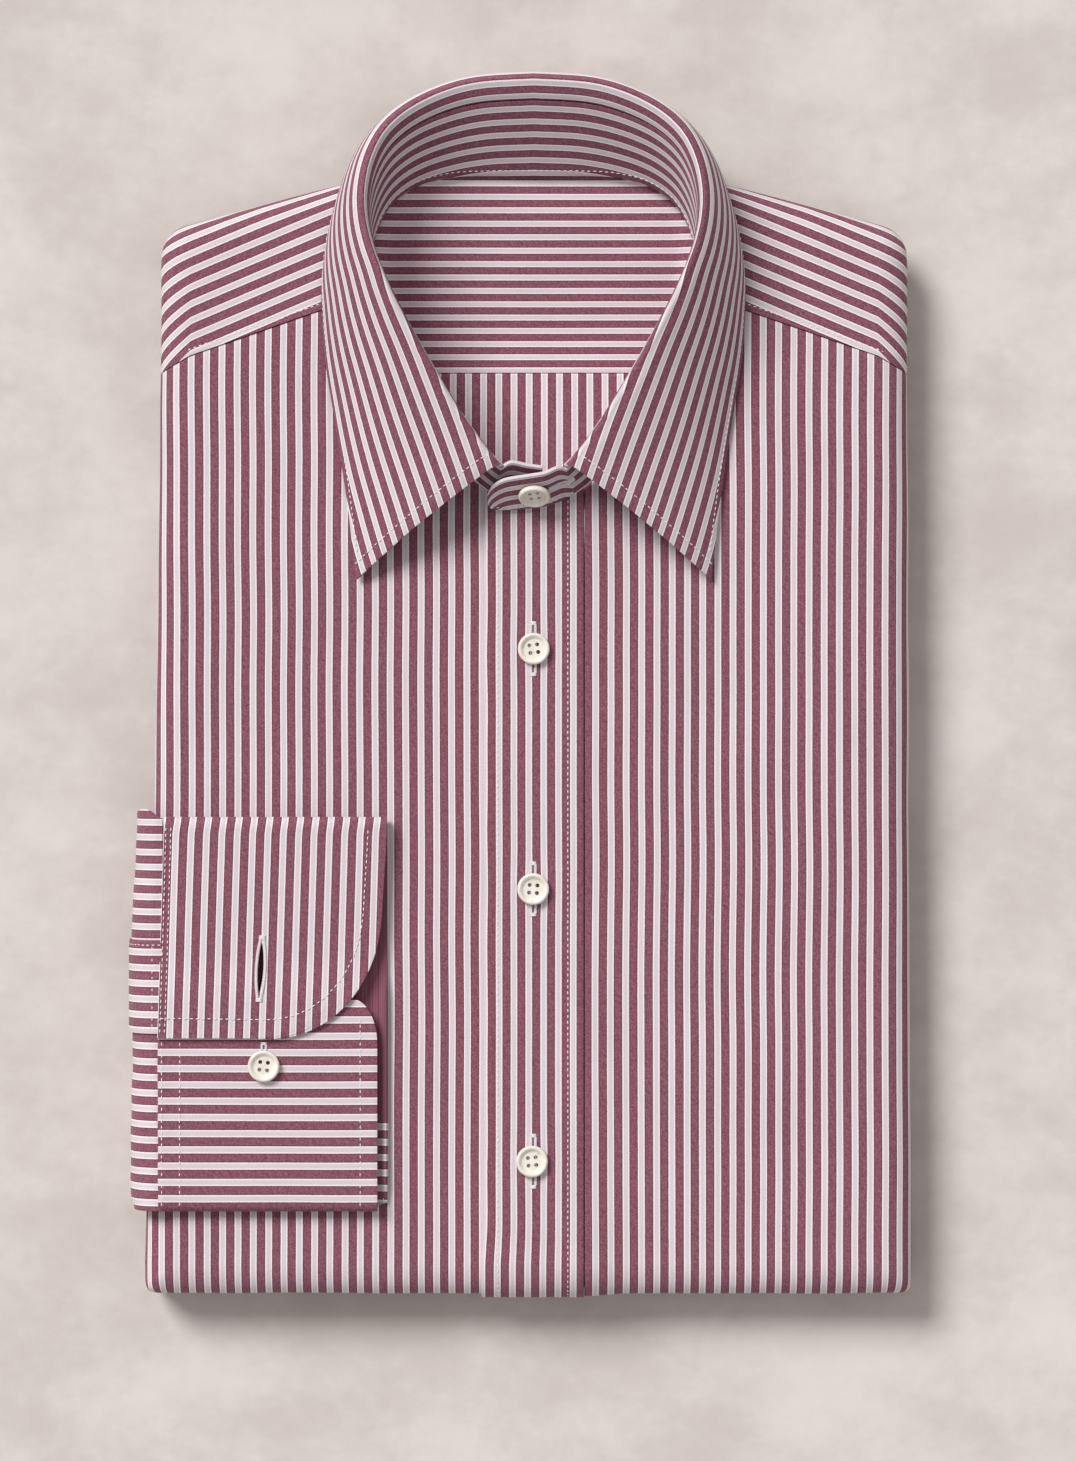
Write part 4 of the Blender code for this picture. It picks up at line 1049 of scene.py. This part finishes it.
def cuffPlace(rows, isFlap):
    along = [0.0]
    for before, after in zip(rows, rows[1:]):
        along.append(along[-1] + math.hypot(after[1] - before[1], after[2] - before[2]))

    def place(column, row):
        ply, y, z = rows[row]
        left = cuff["left"] + 0.35 * uneven(y / 16.0, 2.0, 0.0)
        right = cuff["right"]
        if ply == "flap":
            left, right = flapSides(y)
        elif ply == "end":
            left -= cuff["endOut"]
            right, corner = cuff["buttonEndRight"], cuff["endCorner"]
            right = roundedRight(right, corner, cuff["buttonEnd"], y, -1)
        share = column / cuff["columns"]
        x = flapColumn(column, y) if ply == "flap" else lerp(left, right, share)
        swell = uneven(x / 26.0, y / 24.0, 7.7 if ply == "flap" else 3.1)
        if ply in ("flap", "end"):
            inner = min(share, 1.0 - share) * 2.0
            z += 0.3 * swell + 0.35 * ease(0.0, 0.25, inner) * (1.0 if ply == "flap" else 0.0)
            rim = min(x - left, right - x)
            for line in (4.6, 2.0) if ply == "flap" else (4.4,):
                z -= 0.16 * math.exp(-((rim - line) / 0.8) ** 2)
        if ply == "back":
            z += cuff["curl"] * ease(*cuff["curlX"], x) * ease(*cuff["curlTop"], y) * ease(
                *cuff["curlFoot"], y)
        if isFlap:
            lean = cuff["lean"] * (y - cuff["flapStripeY"])
            lean += 0.5 * ease(cuff["top"] - 6.0, cuff["top"], y)
            return x, y, z, x - lean - cuff["flapStripe"] + 0.35 * driftAt(x, y), y
        if ply == "end":
            across = (y - cuff["endStripe"]) * stripes["pitch"] / cuff["endPitch"]
        else:
            # Above that y the back ply's visible strip holds one maroon stripe: painted shade under
            # the button end.
            across = min(y - cuff["backPaintedShadeY"], 0.0)
        return x, y, z, across + 0.35 * driftAt(y, x), x

    return place


def inSlit(point):  # faces here are left out, so that the buttonhole is open
    x, y = point.x / mm - bundle["shift"][0], point.y / mm - bundle["shift"][1]
    middle, gape = slitLine(y)
    return point.z > (cuff["backZ"] + cuff["plies"] - 1.0) * mm and abs(x - middle) < gape - 0.13


cuffPiece = layCloth("cuffBand", [
    (cuff["columns"], len(flapRows) - 1, cuffPlace(flapRows, True)),
    (cuff["columns"], len(restRows) - 1, cuffPlace(restRows, False)),
], cuffLook, thick=cuff["wall"], offset=0.0, hole=inSlit)
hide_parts("cuff")
print("cuff laid")


# Sleeve

sleeve = {
    "section": (                 # in from the outermost line, and height
        (10.9, 29.4), (8.0, 29.2), (4.6, 27.4), (1.9, 23.6), (0.3, 18.0),
        (0.0, 12.0), (0.6, 6.6), (2.0, 2.8), (3.8, 1.1),
    ),
    "out": -137.9, "taper": 1.7,
    "top": (-47.3, -44.2, -46.4), "bottom": -186.4,   # at the cuff seam, on the side and below it
    "gauntlet": (-90.5, -123.5),
    "wall": 1.3, "columns": 36, "rows": 110, "gauntletRows": 30,
    "girth": 44.0,               # round the section
    "lift": 0.3, "lowLift": 0.5, "lowFrom": (-124.0, -160.0),   # how far it stands off
    "tuck": 1.32, "tuckFrom": (-181.0, -186.4),
    "gauntletShare": 0.72,       # how far round the gauntlet reaches
    "gauntletSewn": 1.7, "stitchOut": 2.1,
    "sewnRound": (0.03, 0.69), "sewnDown": 0.13,   # the gauntlet's lines, as shares round
    "stripes": (-51.4, -91.9, -125.2),   # a maroon stripe's middle above, on and below the gauntlet
    "closer": 1.05,              # the stripes above lie this much closer
    "cut": (0.035, 0.142), "gauntletCut": (0.031, 0.034),
}


sleeveLine = [Vector(row) for row in sleeve["section"]]


def sleevePoint(share, y, lift):  # share 0 at the cuff seam, 1 under the side
    last = len(sleeveLine) - 1.0
    position = share * last
    here = curveThrough(sleeveLine, position)
    ahead = curveThrough(sleeveLine, min(position + 0.05, last))
    behind = curveThrough(sleeveLine, max(position - 0.05, 0.0))
    run = (ahead - behind).normalized()
    here = here + Vector((run.y, -run.x)) * lift
    taper = sleeve["taper"] * ease(-92.0, -44.0, y) * ease(10.0, 4.0, here.x)
    return sleeve["out"] + taper + here.x, here.y


def sleeveSpot(column, row):
    share = 1.0 - column / sleeve["columns"]
    seamTop, sideTop, lowTop = sleeve["top"]
    top = lerp(lerp(seamTop, sideTop, ease(0.0, 0.32, share)), lowTop, ease(0.36, 0.7, share))
    y = lerp(sleeve["bottom"], top, row / sleeve["rows"])
    ripple = uneven(share * 3.0, y / 12.0, 1.1) * 0.55 * ease(0.0, 0.3, share)
    lift = sleeve["lift"] + sleeve["lowLift"] * ease(*sleeve["lowFrom"], y)
    x, z = sleevePoint(share, y, ripple + lift)
    tuck = sleeve["tuck"] * ease(*sleeve["tuckFrom"], y) * ease(0.2, 0.6, share)
    above, _, below = sleeve["stripes"]
    stripe = (y - above) * sleeve["closer"] if y > sleeve["gauntlet"][0] - 3.0 else y - below
    return x + tuck, y, z, stripe + 0.3 * driftAt(y, x), share * sleeve["girth"]


sleevePiece = layCloth(
    "sleeveSide", [(sleeve["columns"], sleeve["rows"], sleeveSpot)], sleeveLook,
    thick=sleeve["wall"], offset=0.0)
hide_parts("sleeve")


def gauntletSpot(column, row):
    share = (1.0 - column / sleeve["gauntletRows"]) * sleeve["gauntletShare"]
    high, low = sleeve["gauntlet"]
    y = lerp(low, high, row / sleeve["gauntletRows"])
    rim = min(y - low, high - y)
    x, z = sleevePoint(share, y, 1.7 - 0.3 * math.exp(-(rim / 1.2) ** 2))
    return x, y, z, y - sleeve["stripes"][1], share * sleeve["girth"]


gauntletPiece = layCloth(
    "sleeveGauntlet", [(sleeve["gauntletRows"], sleeve["gauntletRows"], gauntletSpot)], sleeveLook,
    thick=1.0, offset=0.0)
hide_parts("sleeve_placket")
print("sleeve laid")


# Hidden folds: one closed form, layered at its edges, flat underneath

folds = {
    "sideSection": (             # inset and height, from under the fronts down to the table
        (15.0, 10.0), (9.5, 10.4), (6.2, 10.2), (3.6, 9.9), (1.9, 9.1), (1.1, 8.0), (1.2, 7.0),
        (2.2, 6.2), (4.4, 5.9), (2.6, 5.5), (1.7, 4.9), (1.4, 4.2), (1.9, 3.5), (4.0, 3.2),
        (2.4, 2.9), (1.5, 2.3), (1.5, 1.5), (2.3, 0.6), (4.4, 0.1), (9.0, 0.0),
    ),
    "hemSection": (
        (12.0, 9.8), (6.5, 9.9), (3.0, 9.8), (1.2, 9.4), (0.5, 8.7), (0.2, 7.6), (0.3, 6.5),
        (0.9, 5.6), (2.2, 5.2), (1.3, 4.9), (0.9, 4.4), (0.9, 3.7), (1.2, 3.0), (2.6, 2.7),
        (1.9, 2.4), (1.8, 1.8), (2.2, 1.1), (3.4, 0.4), (6.0, 0.05), (10.0, 0.0),
    ),
    "hemSteps": 60, "cornerSteps": 8, "sideSteps": 120, "topSteps": 130,
    "tailShort": 14.0,
    "sideStripe": 139.0,         # the stripes run along the sides from this far out
}


def foldsEdge(step):  # right half's outline: point, way in, how much it is a side fold
    hem, reach = bundle["hemY"], bundle["edgeReach"]
    hemSteps, corner, sideSteps = (folds[key] for key in ("hemSteps", "cornerSteps", "sideSteps"))
    if step <= hemSteps:
        x = lerp(bundle["centreX"], plainEdge(1, hem) - reach, step / hemSteps)
        return Vector((x, hem)), Vector((0.0, 1.0)), 0.0
    step -= hemSteps
    if step <= corner:
        turn = step / corner * math.pi / 2.0
        power = 2.0 / bundle["cornerPower"]
        out = Vector((math.sin(turn) ** power, -math.cos(turn) ** power))
        pivot = Vector((plainEdge(1, hem) - reach, hem + reach))
        return pivot + out * reach, -out, 0.25 * step / corner
    step -= corner
    if step <= sideSteps:
        y = lerp(hem + reach, bundle["seamSideY"], step / sideSteps)
        return Vector((plainEdge(1, y), y)), Vector((-1.0, 0.0)), ease(hem + 2.0, hem + 30.0, y)
    edge, inward = yokeEdge(min((step - sideSteps) / folds["topSteps"], 1.0) * yokeHalf)
    return edge, inward, 1.0


foldsHalf = sum(folds[key] for key in ("hemSteps", "cornerSteps", "sideSteps", "topSteps"))
foldsLast = len(folds["sideSection"]) - 1


def foldsSpot(step, row):
    step = step % (2 * foldsHalf)
    side = 1 if step <= foldsHalf else -1
    edge, inward, under = foldsEdge(step if step <= foldsHalf else 2 * foldsHalf - step)
    index = foldsLast - row
    sideRow, hemRow = folds["sideSection"][index], folds["hemSection"][index]
    inset, z = lerp(hemRow[0], sideRow[0], under), lerp(hemRow[1], sideRow[1], under)
    layer = 0.0 if index < 9 else 4.0 if index < 14 else 8.0
    run = uneven(step / 14.0, layer, 0.0) * 0.8 + uneven(step / 5.0, layer, 2.0) * 0.2
    if 2 < index < foldsLast - 1:
        inset = max(inset + run * (0.5 + 0.5 * under), 0.1)
    point = edge + inward * inset
    point.y -= folds["tailShort"] * ease(120.0, 165.0, edge.y)
    off = widened(side, edge.y, point.x - bundle["centreX"])
    x = bundle["centreX"] + side * off
    arc = folds["sideStripe"] - z * 1.6 + layer
    return x, point.y, z, lerp(off, arc, under), point.y


def foldsMesh():
    made = bmesh.new()
    made.from_mesh(sheetMesh("foldsRim", [(2 * foldsHalf, foldsLast, foldsSpot)]))
    uvs = made.loops.layers.uv["cloth"]
    rims = [edge for edge in made.edges if edge.is_boundary]
    caps = bmesh.ops.holes_fill(made, edges=rims, sides=0)["faces"]
    for face in caps:
        for loop in face.loops:
            loop[uvs].uv = (loop.vert.co.x, loop.vert.co.y)
    bmesh.ops.triangulate(made, faces=caps)
    bmesh.ops.recalc_face_normals(made, faces=made.faces[:])
    return meshFrom(made, "hiddenFolds")


foldsPiece = putObject("hiddenFolds", foldsMesh(), hiddenLook)
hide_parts("folded_layers")
print("hidden folds laid")


# Buttons

button = {
    "profile": (                 # radius and height, from the dish out over the rim and under
        (0.0, 1.20), (3.2, 1.16), (3.75, 1.28), (4.1, 1.75), (4.45, 2.14), (4.8, 2.30),
        (5.15, 2.25), (5.45, 2.02), (5.62, 1.6), (5.66, 1.1), (5.5, 0.55), (5.05, 0.15),
        (4.4, 0.0), (0.0, 0.0),
    ),
    "steps": 64, "holeRadius": 0.72, "holeOffset": 1.36,
    "seats": {                   # place, tilt towards the hem, turn about its own middle
        "top": ((4.4, 12.8, 26.75), 0.0, 8.0),
        "middle": ((4.2, -72.4, 26.75), 0.0, -4.0),
        "bottom": ((3.8, -169.0, 26.75), 0.0, 5.0),
        "cuff": ((-91.1, -134.9, 31.75), 0.0, -6.0),
        "collar": ((4.6, 67.4, 36.5), 56.0, 12.0),
    },
}


def buttonMesh():
    made = bmesh.new()
    rim = [bmesh.ops.create_vert(made, co=(radius * mm, 0.0, height * mm))["vert"][0]
           for radius, height in button["profile"]]
    lines = [made.edges.new(pair) for pair in zip(rim, rim[1:])]
    bmesh.ops.spin(
        made, geom=rim + lines, cent=(0, 0, 0), axis=(0, 0, 1), dvec=(0, 0, 0),
        angle=2 * math.pi, steps=button["steps"], use_merge=True)
    bmesh.ops.remove_doubles(made, verts=made.verts[:], dist=0.01 * mm)
    bmesh.ops.recalc_face_normals(made, faces=made.faces[:])
    drills = bmesh.new()
    for x in (-1, 1):
        for y in (-1, 1):
            at = Matrix.Translation(Vector((x, y, 0.8)) * button["holeOffset"] * mm)
            bmesh.ops.create_cone(
                drills, cap_ends=True, segments=20, depth=6.0 * mm, matrix=at,
                radius1=button["holeRadius"] * mm, radius2=button["holeRadius"] * mm)
    return cutFrom(meshFrom(made, "buttonBlank"), meshFrom(drills, "buttonDrills"))


def cutFrom(mesh, cutterMesh):  # takes the cutter's shape out of the mesh
    body = bpy.data.objects.new("toCut", mesh)
    cutter = bpy.data.objects.new("cutter", cutterMesh)
    for item in (body, cutter):
        bpy.context.scene.collection.objects.link(item)
    cut = body.modifiers.new("Cut", "BOOLEAN")
    cut.operation = "DIFFERENCE"
    cut.solver = "EXACT"
    cut.object = cutter
    graph = bpy.context.evaluated_depsgraph_get()
    result = bpy.data.meshes.new_from_object(body.evaluated_get(graph))
    bpy.data.objects.remove(body)
    bpy.data.objects.remove(cutter)
    return result


buttonBlank = buttonMesh()
for place, (seat, tilt, turn) in button["seats"].items():
    mesh = buttonBlank.copy()
    mesh.name = f"button{place.capitalize()}"
    mesh.transform(
        Matrix.Translation(toFrame(*seat))
        @ Matrix.Rotation(math.radians(tilt), 4, "X") @ Matrix.Rotation(math.radians(turn), 4, "Z"))
    mesh.materials.clear()
    piece = putObject(mesh.name, mesh, ivoryLook)
    mesh.set_sharp_from_angle(angle=math.radians(50))
    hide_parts(f"button_{place}")
print("buttons set")


# Sewing

sewing = {
    "length": 1.35, "space": 0.75, "width": 0.42, "height": 0.3,
    "start": 0.8, "sway": 0.1, "lengthSway": 0.12,   # no stitch is quite like the last
    "seamAside": 2.2,            # from the yoke's seam to its stitches
    "leafEdge": 2.3, "leafFront": 5.0,   # from the leaf's edges in to its stitches
    "leafOut": 0.62,
    "barLength": 1.3, "barWidth": 0.38, "barSpace": 0.36,
}


def addBar(bars, point, run, up, length, width, height):  # one stitch, lying along run
    run = (run - up * run.dot(up)).normalized()
    side = up.cross(run)
    turned = Matrix((run, side, up)).transposed().to_4x4()
    sized = Matrix.Diagonal((length / 2 * mm, width / 2 * mm, height / 2 * mm, 1.0))
    bars.append(Matrix.Translation(toFrame(*point)) @ turned @ sized)


def alongPath(path, spacing, start):  # evenly spaced point, run and up on a path
    lengths = [0.0]
    for before, after in zip(path, path[1:]):
        lengths.append(lengths[-1] + (after[0] - before[0]).length)
    at, index = start, 0
    while at < lengths[-1]:
        while lengths[index + 1] < at:
            index += 1
        share = (at - lengths[index]) / max(lengths[index + 1] - lengths[index], 1e-6)
        first, second = path[index], path[index + 1]
        yield (
            first[0].lerp(second[0], share), (second[0] - first[0]).normalized(),
            first[1].lerp(second[1], share).normalized())
        at += spacing


def sewPath(bars, path):
    pitch = sewing["length"] + sewing["space"]
    for number, (point, run, up) in enumerate(alongPath(path, pitch, sewing["start"])):
        sway = uneven(number * 1.7, point.x, point.y)
        point = point + up.cross(run) * sewing["sway"] * sway
        length = sewing["length"] * (1.0 + sewing["lengthSway"] * sway)
        addBar(bars, point, run, up, length, sewing["width"], sewing["height"])


def threadPiece(name, bars):  # one small bead of thread, repeated at each place
    bead = bmesh.new()
    bmesh.ops.create_uvsphere(bead, u_segments=8, v_segments=4, radius=1.0)
    one = meshFrom(bead, "bead")
    joined = bmesh.new()
    for bar in bars:
        placed = one.copy()
        placed.transform(bar)
        joined.from_mesh(placed)
        bpy.data.meshes.remove(placed)
    bpy.data.meshes.remove(one)
    mesh = meshFrom(joined, name)
    piece = putObject(name, mesh, sewingLook)
    print(f"{name}: {len(mesh.polygons)} faces")
    return piece


upright = Vector((0.0, 0.0, 1.0))


def placketFace(x, y, above):
    return Vector((x, y, bundle["topZ"] + placket["lift"] + placketRise(x, y) + above))


# The placket's two lines, down over the hem
bars = []
for x in placket["stitches"]:
    path = []
    for angle in range(80, 0, -10):
        inset, low = foldLevel(angle, placket["lift"], 0.0)
        turn = math.radians(angle)
        out = Vector((0.0, -math.sin(turn), math.cos(turn)))
        path.append((Vector((x, bundle["hemY"] + inset, low)), out))
    y = bundle["hemY"] + bundle["edgeReach"]
    while y < neckFront(abs(x - bundle["centreX"])):
        path.append((placketFace(x, y, 0.08), upright))
        y += 1.5
    sewPath(bars, path)
placketStitches = threadPiece("placketStitches", bars)

# The yoke's seams
bars = []
for side in (-1, 1):
    path = []
    reach, aside = bundle["edgeReach"], sewing["seamAside"]
    turnX = sideEdge(side, bundle["seamSideY"]) - side * reach
    for step in range(60):
        x = lerp(bundle["centreX"] + side * bundle["seamNeck"][0], turnX, step / 59)
        y = seamLine(x, reach) + aside
        z = bundle["topZ"] + riseAt(x, y) + yoke["seamRise"] * (1.0 - ease(0.0, 3.0, aside))
        path.append((Vector((x, y, z + 0.06)), upright))
    for angle in range(10, 130, 10):
        inset, low = foldLevel(angle, 0.0, 1.0)
        turn = math.radians(angle)
        y = bundle["seamSideY"] + bundle["seamDroop"] * inset / reach + aside
        spot = Vector((sideEdge(side, y) - side * (inset - 0.1), y, low))
        path.append((spot, Vector((side * math.sin(turn), 0.0, math.cos(turn)))))
    sewPath(bars, path)
yokeStitches = threadPiece("yokeStitches", bars)


# The collar's edges and the band's foot

def leafFace(step, row):  # outside of the leaf there, and the way out from it
    step = min(max(step, 0), len(leafColumns) - 1)
    here = leafSpotPoint(step, row)
    after, before = min(step + 1, len(leafColumns) - 1), max(step - 1, 0)
    aside = leafSpotPoint(after, row) - leafSpotPoint(before, row)
    down = leafSpotPoint(step, min(row + 1, leafRows)) - leafSpotPoint(step, max(row - 1, 0))
    out = aside.cross(down).normalized()
    if out.dot(Vector((0.35, 0.25, 1.0))) < 0:
        out.negate()
    return here, out


def leafSpotPoint(step, row):
    half = collar["leafColumns"] // 2
    x, y, z, _, _ = leafSpot(half + step, row)
    return Vector((x, y, z))


def flipped(item, side):
    point, out = item
    if side > 0:
        return item
    mirroredX = 2.0 * bundle["centreX"] - point.x
    return Vector((mirroredX, point.y, point.z)), Vector((-out.x, out.y, out.z))


bars = []
for side in (-1, 1):
    lastStep = len(leafColumns) - 1
    outerPath, frontPath = [], []
    for step in range(0, lastStep + 1, 2):
        if leafAlong[-1] - leafAlong[step] < 4.0:
            break
        here, out = leafFace(step, leafRows - 1)
        edge = leafSpotPoint(step, leafRows)
        inwardWay = (here - edge).normalized()
        spot = edge + inwardWay * sewing["leafEdge"] + out * sewing["leafOut"]
        outerPath.append(flipped((spot, out), side))
    for row in range(4 + collar["rollRows"] // 2, leafRows + 1):
        far, step = 0.0, lastStep
        while far < sewing["leafFront"] and step > 0:
            gone = (leafSpotPoint(step, row) - leafSpotPoint(step - 1, row)).length
            far += gone
            step -= 1
        here, out = leafFace(step, row)
        ahead = leafSpotPoint(step + 1, row)
        here = here.lerp(ahead, (far - sewing["leafFront"]) / max(gone, 1e-6))
        frontPath.append(flipped((here + out * sewing["leafOut"], out), side))
    sewPath(bars, outerPath)
    sewPath(bars, frontPath)


def bandFace(signed, share, within):  # a face of the band, and the way out from it
    here, _ = bandPoint(signed, share)
    aside = bandPoint(signed + 0.05, share)[0] - bandPoint(signed - 0.05, share)[0]
    up = bandPoint(signed, min(share + 0.1, 1.0))[0] - bandPoint(signed, max(share - 0.1, 0.0))[0]
    out = aside.cross(up).normalized()
    toMiddle = Vector((bundle["centreX"], 125.0, 40.0)) - here
    if (out.dot(toMiddle) > 0) != within:
        out.negate()
    return here + out * (collar["bandWall"] / 2 + 0.05), out


path = [bandFace(step / 4.0, 0.075, True) for step in range(-80, 81)]
sewPath(bars, path)
path = [bandFace(collar["bandHalf"] + step / 6.0, 0.1, False) for step in range(34)]
sewPath(bars, path)
collarStitches = threadPiece("collarStitches", bars)


# The cuff's lines and the sleeve's

def flapTop(y):
    return flapHeight(y) + 0.5 + cuff["wall"] / 2


bars, path = [], []
inset = cuff["flapSewn"]
corner = (cuff["flapCorner"][0] - inset + 2.0, cuff["flapCorner"][1] - inset + 1.0)
end = cuff["flapEnd"] + inset
for step in range(60):
    y = lerp(cuff["top"] - 4.0, end, 1.0 - (1.0 - step / 59) ** 1.8)
    right = cuff["right"] - inset - cuff["narrowing"] * ease(0.0, 42.0, cuff["top"] - y)
    x = roundedRight(right, corner, end, y, 1)
    path.append((Vector((x, y, flapTop(y))), upright))
for step in range(1, 20):
    x = lerp(path[59][0].x, flapSides(end)[0] + 1.0, step / 19)
    path.append((Vector((x, end + 0.4 * step / 19, flapTop(end))), upright))
sewPath(bars, path)
seamYs = [lerp(cuff["top"] - 3.0, cuff["flapEnd"] + 1.0, step / 39) for step in range(40)]
for inset in cuff["seamSewn"]:
    sewPath(bars, [
        (Vector((flapSides(y)[0] + inset, y, flapTop(y) - 0.32)), upright) for y in seamYs])
endZ = cuff["backZ"] + cuff["plies"] + cuff["wall"] / 2
backZ = cuff["backZ"] + cuff["wall"] / 2


def sewDown(x, startY, endY, z, steps):
    sewPath(bars, [
        (Vector((x, lerp(startY, endY, step / steps), z)), upright) for step in range(steps + 1)])


for x in cuff["endSewn"]:
    sewDown(x, cuff["endSewnFrom"], cuff["bottom"] + 1.6, endZ + 0.05, 30)
sewDown(*cuff["backSewn"], backZ, 20)


def sleeveFace(share, y):
    x, z = sleevePoint(share, y, sleeve["stitchOut"])
    outX, outZ = sleevePoint(share, y, sleeve["stitchOut"] + 1.0)
    return Vector((x, y, z)), Vector((outX - x, 0.0, outZ - z)).normalized()


high, low = sleeve["gauntlet"]
for y in (high - sleeve["gauntletSewn"], low + sleeve["gauntletSewn"]):
    sewPath(bars, [sleeveFace(lerp(*sleeve["sewnRound"], step / 30), y) for step in range(31)])
sewPath(bars, [
    sleeveFace(sleeve["sewnDown"], lerp(high - 2.0, low + 2.0, step / 12)) for step in range(13)])
cuffStitches = threadPiece("cuffStitches", bars)
print("sewing done")


# Buttonholes: satin bars on both sides of the slit, and bars across its ends

buttonholes = {
    "half": 8.4, "aside": 0.80,
    "cuffHalf": 10.4, "cuffAside": 0.55,
    "bandHalf": 5.4, "bandAside": 0.6,
    "barHeight": 0.5,
    "tackLength": 2.7, "tackWidth": 0.4, "tackHeight": 0.6,   # the bars across the ends
    "cuffLoop": (-91.1, -127.6),   # the end of the thread above the cuff's button
}


def satinSlit(bars, place, half, aside, opening=0.0):
    # place(along, across) gives a point on the cloth and the way out from it.
    count = int(2 * half / sewing["barSpace"])
    for step in range(count + 1):
        along = lerp(-half, half, step / count)
        gape = opening * max(1.0 - (along / half) ** 2, 0.0)
        for side in (-1, 1):
            point, out = place(along, side * (aside + gape))
            beyond, _ = place(along, side * (aside + gape + 1.0))
            addBar(bars, point, beyond - point, out,
                   sewing["barLength"], sewing["barWidth"], buttonholes["barHeight"])
    tack = [buttonholes[key] for key in ("tackLength", "tackWidth", "tackHeight")]
    for end in (-1, 1):
        for step in range(4):
            along = end * (half + 0.25 + 0.3 * step)
            point, out = place(along, 0.0)
            addBar(bars, point, place(along, 1.0)[0] - point, out, *tack)


bars = []
for buttonY in placket["buttons"]:
    def onPlacket(along, across, middle=buttonY):
        return placketFace(bundle["centreX"] - 0.1 + across, middle + along, 0.14), upright
    satinSlit(bars, onPlacket, buttonholes["half"], buttonholes["aside"])


def onFlap(along, across):
    y = cuff["slit"][1] + along
    x = slitLine(y)[0] + across
    return Vector((x, y, flapTop(y) + 0.1)), upright


satinSlit(bars, onFlap, buttonholes["cuffHalf"], buttonholes["cuffAside"], cuff["slitOpen"])
loopX, loopY = buttonholes["cuffLoop"]
sideways = Vector((1.0, 0.0, 0.0))
for step in range(9):
    for side in (-1, 1):
        spot = Vector((loopX + side * 0.75, loopY - 0.4 * step, endZ + 0.12))
        addBar(bars, spot, sideways, upright, 1.1, sewing["barWidth"], buttonholes["barHeight"])
for step in range(3):
    spot = Vector((loopX, loopY + 0.3 + 0.35 * step, endZ + 0.12))
    addBar(bars, spot, sideways, upright, 2.5, buttonholes["tackWidth"], 0.55)


def onBand(along, across):
    return bandFace(collar["bandHalf"] + 0.65 + along / 6.2, 0.5 + across / 16.0, False)


satinSlit(bars, onBand, buttonholes["bandHalf"], buttonholes["bandAside"])
buttonholePiece = threadPiece("buttonholeThread", bars)
print("buttonholes worked")


# What each sheet was cut to, as far as it shows

# Floor, light and camera

studio = {
    "floor": (0.655, 0.600, 0.572, 1.0),
    "floorPale": (0.755, 0.706, 0.682, 1.0),
    "floorDark": (0.555, 0.500, 0.472, 1.0),
    "floorSize": 4.0, "floorZ": -0.0002,
    "keyAt": (-0.82, 0.98, 1.18),   # the way that the light comes from
    "keySpread": 25.0,              # degrees, for soft edges to the shadows
    "keyStrength": 2.93,
    "keyColour": (1.0, 0.985, 0.96),
    "ambient": 0.445, "ambientColour": (1.0, 0.985, 0.965, 1.0),
    "cameraAt": (0.00676, -0.01448, 1.970), "lens": 135.0,
}


def floorLook():
    look = Look("Pale plaster floor", {"Specular IOR Level": 0.2, "IOR": 1.45})
    at = look.node("TexCoord", {}, {}, output=3)
    clouds = look.grain(at, 11.0, 4.0, 0.55)
    turned = look.node(
        "Mapping", {}, {"Vector": at, "Rotation": (0, 0, 0.5), "Scale": (22, 34, 20)})
    patches = look.grain(turned, 1.0, 5.0, 0.62)
    fine = look.grain(at, 160.0, 3.0, 0.6)
    share = clouds * 0.5 + patches * 0.38 + fine * 0.12
    colour = look.blend(look.soft(share, 0.38, 0.62), studio["floorDark"], studio["floorPale"])
    colour = look.blend(0.4, colour, studio["floor"])
    look.show("Base Color", colour)
    look.show("Roughness", 0.9)
    look.show("Normal", look.bump(fine + patches, 0.6 * mm, 0.2))
    return look.material


made = bmesh.new()
bmesh.ops.create_grid(made, x_segments=1, y_segments=1, size=studio["floorSize"] / 2)
bmesh.ops.translate(made, verts=made.verts[:], vec=(0.0, 0.0, studio["floorZ"]))
floorMesh = meshFrom(made, "floor")
floor = bpy.data.objects.new("floor", floorMesh)
floorMesh.materials.append(floorLook())
bpy.context.scene.collection.objects.link(floor)
floor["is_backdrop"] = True

keyLight = bpy.data.lights.new("key", "SUN")
keyLight.angle = math.radians(studio["keySpread"])
keyLight.energy = studio["keyStrength"]
keyLight.color = studio["keyColour"]
key = bpy.data.objects.new("key", keyLight)
key.location = studio["keyAt"]
key.rotation_euler = (-Vector(studio["keyAt"])).to_track_quat("-Z", "Y").to_euler()
bpy.context.scene.collection.objects.link(key)

sky = bpy.data.worlds.new("studio")
sky.use_nodes = True
sky.node_tree.nodes["Background"].inputs["Color"].default_value = studio["ambientColour"]
sky.node_tree.nodes["Background"].inputs["Strength"].default_value = studio["ambient"]
bpy.context.scene.world = sky

lens = bpy.data.cameras.new("camera")
lens.lens = studio["lens"]
lens.sensor_width = 36.0
lens.clip_start = 0.05
camera = bpy.data.objects.new("camera", lens)
camera.location = studio["cameraAt"]
bpy.context.scene.collection.objects.link(camera)
bpy.context.scene.camera = camera
bpy.context.scene.view_settings.view_transform = "Standard"
print("studio ready")

low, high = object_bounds()
sizes = {"cad": [list(cadLow), list(cadHigh)], "visual": [list(low), list(high)]}
print("cad box", [round(v * 1000, 1) for v in (*cadLow, *cadHigh)])
print("visual box", [round(v * 1000, 1) for v in (*low, *high)])
